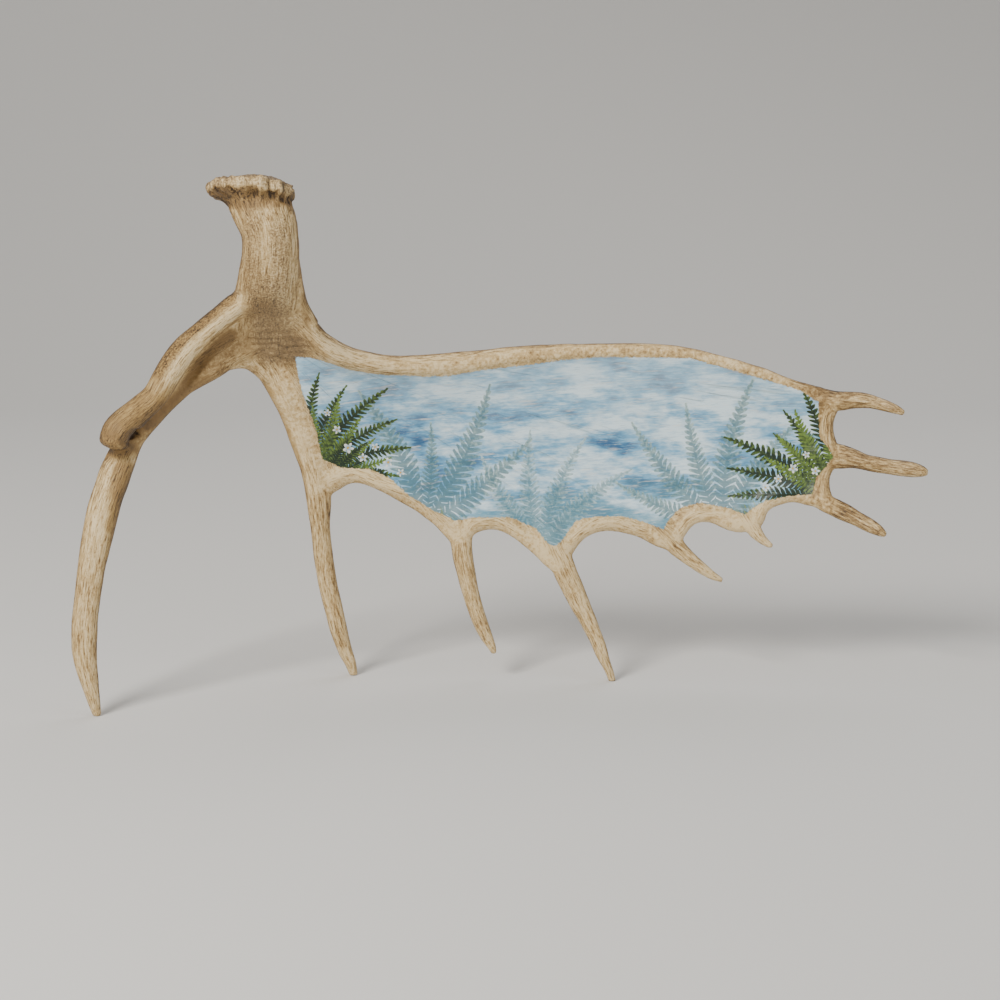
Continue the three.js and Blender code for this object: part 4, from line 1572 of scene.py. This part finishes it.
    def bloom(self, shader: Shader, x: Value, z: Value, flower: Blossom, colour: Value) -> Value:
        """Lays one blossom over a colour."""
        right, up = (x - flower.x) / flower.radius, (z - flower.z) / flower.radius
        angle = up.math("ARCTAN2", right) * PETALS + flower.turn * PETALS
        radius = (right * right + up * up) ** 0.5
        cover = (angle.math("COSINE") * 0.26 + 0.74 - radius).step(-0.06, 0.08)
        petal = shader.mix(radius.step(0.1, 0.8), self.sky_blue, self.petal)
        colour = shader.mix(cover, colour, petal)
        return shader.mix(radius.step(0.30, 0.20), colour, self.heart)

    def groove(self, shader: Shader, x: Value, z: Value) -> Value:
        """The shallow vein grooves that run out across the palm, from 0 to 1."""
        right, down = x - VEINS_FROM[0], VEINS_FROM[1] - z
        angle = down.math("ARCTAN2", right)
        radius = (right * right + down * down) ** 0.5
        fan = shader.vector(angle * VEIN_SPREAD, 0.0, radius)
        return shader.noise(fan, (7, 9, 150), 2.0, 0.6).step(0.60, 0.70)

    def height(self, shader: Shader, place: Value) -> Value:
        """The painted palm's fine relief: brush strokes over vein grooves."""
        x, _, z = shader.parts(place)
        strokes = shader.noise(self.brushed(shader, x, z), (16, 3, 1.6), 3.0)
        return strokes * 0.30 + 0.35 - self.groove(shader, x, z) * 0.45

    def colour(self, shader: Shader, place: Value) -> Value:
        """The whole design's colour at a place on the skin, in millimetres."""
        x, _, z = shader.parts(place)
        colour = self.wash(shader, place, x, z)
        wobble = shader.noise(place, (6, 6, 6), 1.0)
        bent_x = x + (wobble - 0.5) * 3.0
        dapple = shader.noise(place, (4, 4, 4), 2.0)
        banked = False
        for fan in self.fans:
            if not banked and fan.haze == 0.0:
                colour = self.bank(shader, x, z, colour)
                banked = True
            cover, along, reach = self.fern(bent_x, z, fan)
            light = along * 0.6 + reach * 0.25 + (dapple - 0.5) * 1.6 + (fan.tone - 0.45)
            green = shader.mix(light.step(0.0, 1.0), self.dark_green, self.leaf_green)
            if fan.haze:
                green = shader.mix(fan.haze, green, shader.mix(light.step(0.1, 1.1), self.teal, self.mist))
            colour = shader.mix(cover * (1.0 - 0.35 * fan.haze), colour, green)
        for flower in self.blossoms:
            colour = self.bloom(shader, bent_x, z, flower, colour)
        return shader.mix(self.groove(shader, x, z) * 0.28, colour, self.teal)


class Reading:
    """What the finish reads on the skin: its measures, and noises of several sizes.

    Where it isn't sure which limb a point belongs to, the lengthwise noises give way to even ones.
    """

    def __init__(self, shader: Shader) -> None:
        """Adds the nodes that read the skin.

        Args:
            shader: The antler's material.
        """
        self.place = shader.scaled(shader.node("ShaderNodeTexCoord", {}, {}, "Object"), (MM, MM, MM))
        grain = shader.attribute("grain", "Vector")
        self.sure, self.tip, self.front = (shader.attribute(name) for name in ("sure", "tip", "front"))
        # How sunk each point is: the finish turns it into painted shade in hollows and painted highlight on
        # ridges.
        self.crevice, self.dip = shader.attribute("crevice"), shader.attribute("dip")
        # Crust and stain are the bone's own colour; shade is painted shade, and pale is painted highlight on
        # lit crests and rims.
        self.crust, self.stain, self.shade, self.pale = (shader.attribute(mark.value) for mark in Mark)
        self.x, _, self.z = shader.parts(self.place)
        self.clouds = shader.noise(self.place, (48, 48, 48), 3.0)
        self.blotch = shader.noise(self.place, (12, 12, 12), 3.0, 0.6)
        mottle = shader.noise(self.place, (4, 4, 4), 3.0, 0.6)
        self.speck = shader.noise(self.place, (2.1, 2.1, 2.1), 2.0, 0.6)
        self.pepper = shader.noise(self.place, (3.4, 3.4, 3.4), 1.0)
        self.wide = shader.blend(self.sure, self.blotch, shader.noise(grain, (60, 6, 6), 3.0, 0.6))
        quiet = (mottle - 0.5) * 0.5 + 0.5
        self.fibre = shader.blend(self.sure, quiet, shader.noise(grain, (28, 2.2, 2.2), 4.0, 0.7))
        self.dash = shader.blend(self.sure, quiet, shader.noise(grain, (9, 1.1, 1.1), 2.0, 0.6))
        self.hair = shader.blend(self.sure, 0.5, shader.noise(grain, (22, 1.5, 1.5), 1.0, 0.5))
        # Where the surface turns aside from the front: the finish darkens there, partly as painted shade and
        # partly as brown staining on the limbs' sides.
        self.side = 1.0 - abs(self.front).step(0.05, 0.88)
        self.rim = 1.0 - abs(self.front).step(0.0, 0.5)
        self.back = self.front.step(-0.1, -0.5)


@dataclass(frozen=True)
class AntlerFinish:
    """Dry antler: tan to ivory, streaked lengthwise, crusted in places, worn pale on the points."""

    palm: PaintedPalm = PaintedPalm()
    ivory: Colour = (0.83, 0.655, 0.375)
    tan: Colour = (0.60, 0.415, 0.185)
    brown: Colour = (0.27, 0.160, 0.055)
    dark: Colour = (0.055, 0.030, 0.012)
    amber: Colour = (0.34, 0.205, 0.050)
    dust: Colour = (0.40, 0.315, 0.20)
    relief: float = 0.0015

    def pigment_and_shading(self, shader: Shader, skin: Reading) -> Value:
        """How brown the bare antler is, with painted shade and painted highlights laid in.

        Args:
            shader: The material.
            skin: What is read on the skin.

        Returns:
            0 where it is ivory, about a half where it is tan, 1 where it is brown, and more where it
            is darker still.
        """
        crust, stain, shade, side = skin.crust, skin.stain, skin.shade, skin.side
        streaks = (skin.fibre - 0.5) * 2.4 + (skin.wide - 0.5) * 0.8 + (skin.dash - 0.5) * 1.8
        calm = (shade * -0.75 + 1.0) * (stain * -0.15 + 1.0) * (skin.back * -0.35 + 1.0)
        pigment_and_shading = streaks * (crust * -0.65 + 1.0) * calm + (skin.speck - 0.5) * (crust * 2.6 + 0.5) * calm
        # Darker on the limbs' sides and towards the outline: partly painted shade, partly brown staining.
        pigment_and_shading = pigment_and_shading + (skin.clouds - 0.5) * 0.8 + side * side * 0.36 + skin.rim * 0.24 + crust * 0.26
        pigment_and_shading = pigment_and_shading + stain * 0.20 + shade * 0.52 + skin.x.step(285, 350) * 0.36 + skin.back * 0.08
        # The pale mark lightens lit crests and rims as painted highlight; the worn tips are paler bone.
        pigment_and_shading = pigment_and_shading - skin.pale * 0.26 - skin.tip * 0.14 + 0.43
        # Painted shade in hollows and creases, and painted highlight on ridges.
        pigment_and_shading = pigment_and_shading + skin.crevice.step(0.15, 1.1) * 0.60 + skin.dip.step(0.5, 3.5) * 0.30
        pigment_and_shading = pigment_and_shading - (skin.crevice * -1.0).step(0.1, 0.8) * 0.20
        pigment_and_shading = pigment_and_shading + skin.dash.step(0.57, 0.66) * (side * 0.3 + 0.24)
        pigment_and_shading = pigment_and_shading + skin.hair.step(0.60, 0.66) * (side * 0.3 + stain * 0.2 + 0.22)
        pigment_and_shading = pigment_and_shading + skin.pepper.step(0.64, 0.70) * (skin.sure * 0.22)
        fissure = shader.noise(skin.place, (2.4, 2.4, 12), 3.0, 0.6).step(0.52, 0.64)
        return pigment_and_shading + skin.z.step(538, 548) * fissure * 0.55

    def bone(self, shader: Shader, skin: Reading) -> Value:
        """The bare antler's colour.

        Args:
            shader: The material.
            skin: What is read on the skin.

        Returns:
            The colour.
        """
        pigment_and_shading = self.pigment_and_shading(shader, skin)
        stained = skin.stain * (skin.blotch.step(0.35, 0.65) * 0.25 + 0.50)
        colour = shader.mix(pigment_and_shading.step(0.0, 0.56), self.ivory, self.tan)
        colour = shader.mix(stained, colour, self.amber)
        colour = shader.mix(skin.z.step(250, 130) * 0.16, colour, self.amber)
        colour = shader.mix(pigment_and_shading.step(0.42, 1.00), colour, self.brown)
        colour = shader.mix(pigment_and_shading.step(0.90, 1.55), colour, self.dark)
        return shader.mix(skin.crust * (1.0 - skin.stain) * 0.30, colour, self.dust)

    def build(self) -> bpy.types.Material:
        """Builds the material.

        Returns:
            The material.
        """
        shader = Shader("antler_and_paint")
        skin = Reading(shader)
        bone = self.bone(shader, skin)
        rough = shader.blend(skin.tip, 0.60, 0.45) + (skin.fibre - 0.5) * 0.25 + skin.crust * 0.12
        height = skin.fibre * 0.75 + skin.dash * 0.35 + skin.speck * (skin.crust * 0.8 + 0.25)
        edge = shader.attribute("paint") + (shader.noise(skin.place, (3, 3, 3), 3.0, 0.6) - 0.5) * 5.0
        painted = edge.step(-0.5, 0.7) * skin.front.step(0.0, 0.2)
        colour = shader.mix(painted, bone, self.palm.colour(shader, skin.place))
        rough = shader.blend(painted, rough, 0.40)
        height = shader.blend(painted, height, self.palm.height(shader, skin.place))
        shader.finish(colour, rough, height, self.relief)
        return shader.material


@dataclass(frozen=True)
class FloorFinish:
    """A plain pale floor."""

    pale: Colour = (0.70, 0.69, 0.67)
    roughness: float = 0.85

    def build(self) -> bpy.types.Material:
        """Builds the material.

        Returns:
            The material.
        """
        shader = Shader("pale_floor")
        shader.finish_plain(self.pale, self.roughness)
        return shader.material


@dataclass(frozen=True)
class Lamp:
    """A soft square light.

    Attributes:
        name: What it is called.
        at: Where it hangs, in metres.
        size: Its width in metres.
        power: Its power in watts.
        colour: Its colour.
    """

    name: str
    at: Point
    size: float
    power: float
    colour: Colour

    def hang(self, aim: Point) -> None:
        """Hangs the lamp so that it faces a place."""
        lamp = bpy.data.lights.new(self.name, "AREA")
        lamp.size = self.size
        lamp.energy = self.power
        lamp.color = self.colour
        hung = bpy.data.objects.new(self.name, lamp)
        hung.location = self.at
        hung.rotation_euler = (Vector(aim) - Vector(self.at)).to_track_quat("-Z", "Y").to_euler()
        bpy.context.scene.collection.objects.link(hung)


@dataclass(frozen=True)
class Studio:
    """The floor, the lights and the camera.

    Attributes:
        aim: The middle of the picture, in metres.
        distance: How far the camera stands from it.
        pitch: How far the camera looks down.
        half_width: Half the width that the picture takes in at that distance.
        floor_size: How far the floor runs to each side and to the front.
        bend_start: How far behind the antler the floor starts to bend up.
        bend_radius: The radius of that bend.
        bend_steps: How many flat strips the bend has.
        wall_height: How high the floor's upright end reaches.
        lamps: The lights.
        room_colour: The colour of the light that comes from all round.
        room_strength: How strong that light is.
    """

    aim: Point = (-0.006, 0.012, 0.21433)
    distance: float = 3.0
    pitch: float = math.radians(10)
    half_width: float = 0.55
    floor_size: float = 40.0
    bend_start: float = 2.2
    bend_radius: float = 2.5
    bend_steps: int = 24
    wall_height: float = 8.0
    lamps: tuple[Lamp, ...] = (
        Lamp("key", (-1.9, -2.2, 2.5), 1.2, 135.0, (1.0, 0.965, 0.91)),
        Lamp("fill", (2.6, -1.6, 1.2), 2.4, 22.0, (0.95, 0.97, 1.0)),
        Lamp("back", (0.6, 2.0, 2.6), 2.0, 24.0, (1.0, 1.0, 1.0)),
    )
    room_colour: Colour = (1.0, 0.985, 0.96)
    room_strength: float = 0.42

    def build(self) -> None:
        """Sets the stage."""
        self.floor()
        self.camera()
        for lamp in self.lamps:
            lamp.hang(self.aim)
        world = bpy.data.worlds.new("soft_room")
        world.use_nodes = True
        background = world.node_tree.nodes["Background"]
        background.inputs["Color"].default_value = (*self.room_colour, 1.0)
        background.inputs["Strength"].default_value = self.room_strength
        bpy.context.scene.world = world

    def floor(self) -> None:
        """Lays the floor under the antler, bent up softly far behind it."""
        half = self.floor_size
        profile = [(-half, 0.0), (self.bend_start, 0.0)]
        radius = self.bend_radius
        for turn in np.linspace(0, math.pi / 2, self.bend_steps + 1)[1:]:
            profile.append((self.bend_start + radius * math.sin(turn), radius * (1 - math.cos(turn))))
        profile.append((profile[-1][0], self.wall_height))
        corners = [(x, y, z) for y, z in profile for x in (-half, half)]
        faces = [(2 * k, 2 * k + 1, 2 * k + 3, 2 * k + 2) for k in range(len(profile) - 1)]
        mesh = bpy.data.meshes.new("floor")
        mesh.from_pydata(corners, [], faces)
        mesh.shade_smooth()
        mesh.materials.append(FloorFinish().build())
        floor = bpy.data.objects.new("floor", mesh)
        bpy.context.scene.collection.objects.link(floor)

    def camera(self) -> None:
        """Stands the camera."""
        lens = bpy.data.cameras.new("camera")
        lens.sensor_fit = "HORIZONTAL"
        lens.angle = 2 * math.atan(self.half_width / self.distance)
        lens.clip_end = 100.0
        camera = bpy.data.objects.new("camera", lens)
        back = Vector((0.0, -math.cos(self.pitch), math.sin(self.pitch)))
        camera.location = Vector(self.aim) + back * self.distance
        camera.rotation_euler = (math.pi / 2 - self.pitch, 0.0, 0.0)
        bpy.context.scene.collection.objects.link(camera)
        bpy.context.scene.camera = camera


def main() -> None:
    """Builds the antler, dresses it and sets it in the studio."""
    logging.basicConfig(level=logging.INFO, format="%(name)s: %(message)s")
    Studio().build()
    antler = Antler().build()
    antler.data.materials.append(AntlerFinish().build())
    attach(antler, "root")
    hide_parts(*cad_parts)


if __name__ == "__main__":
    main()
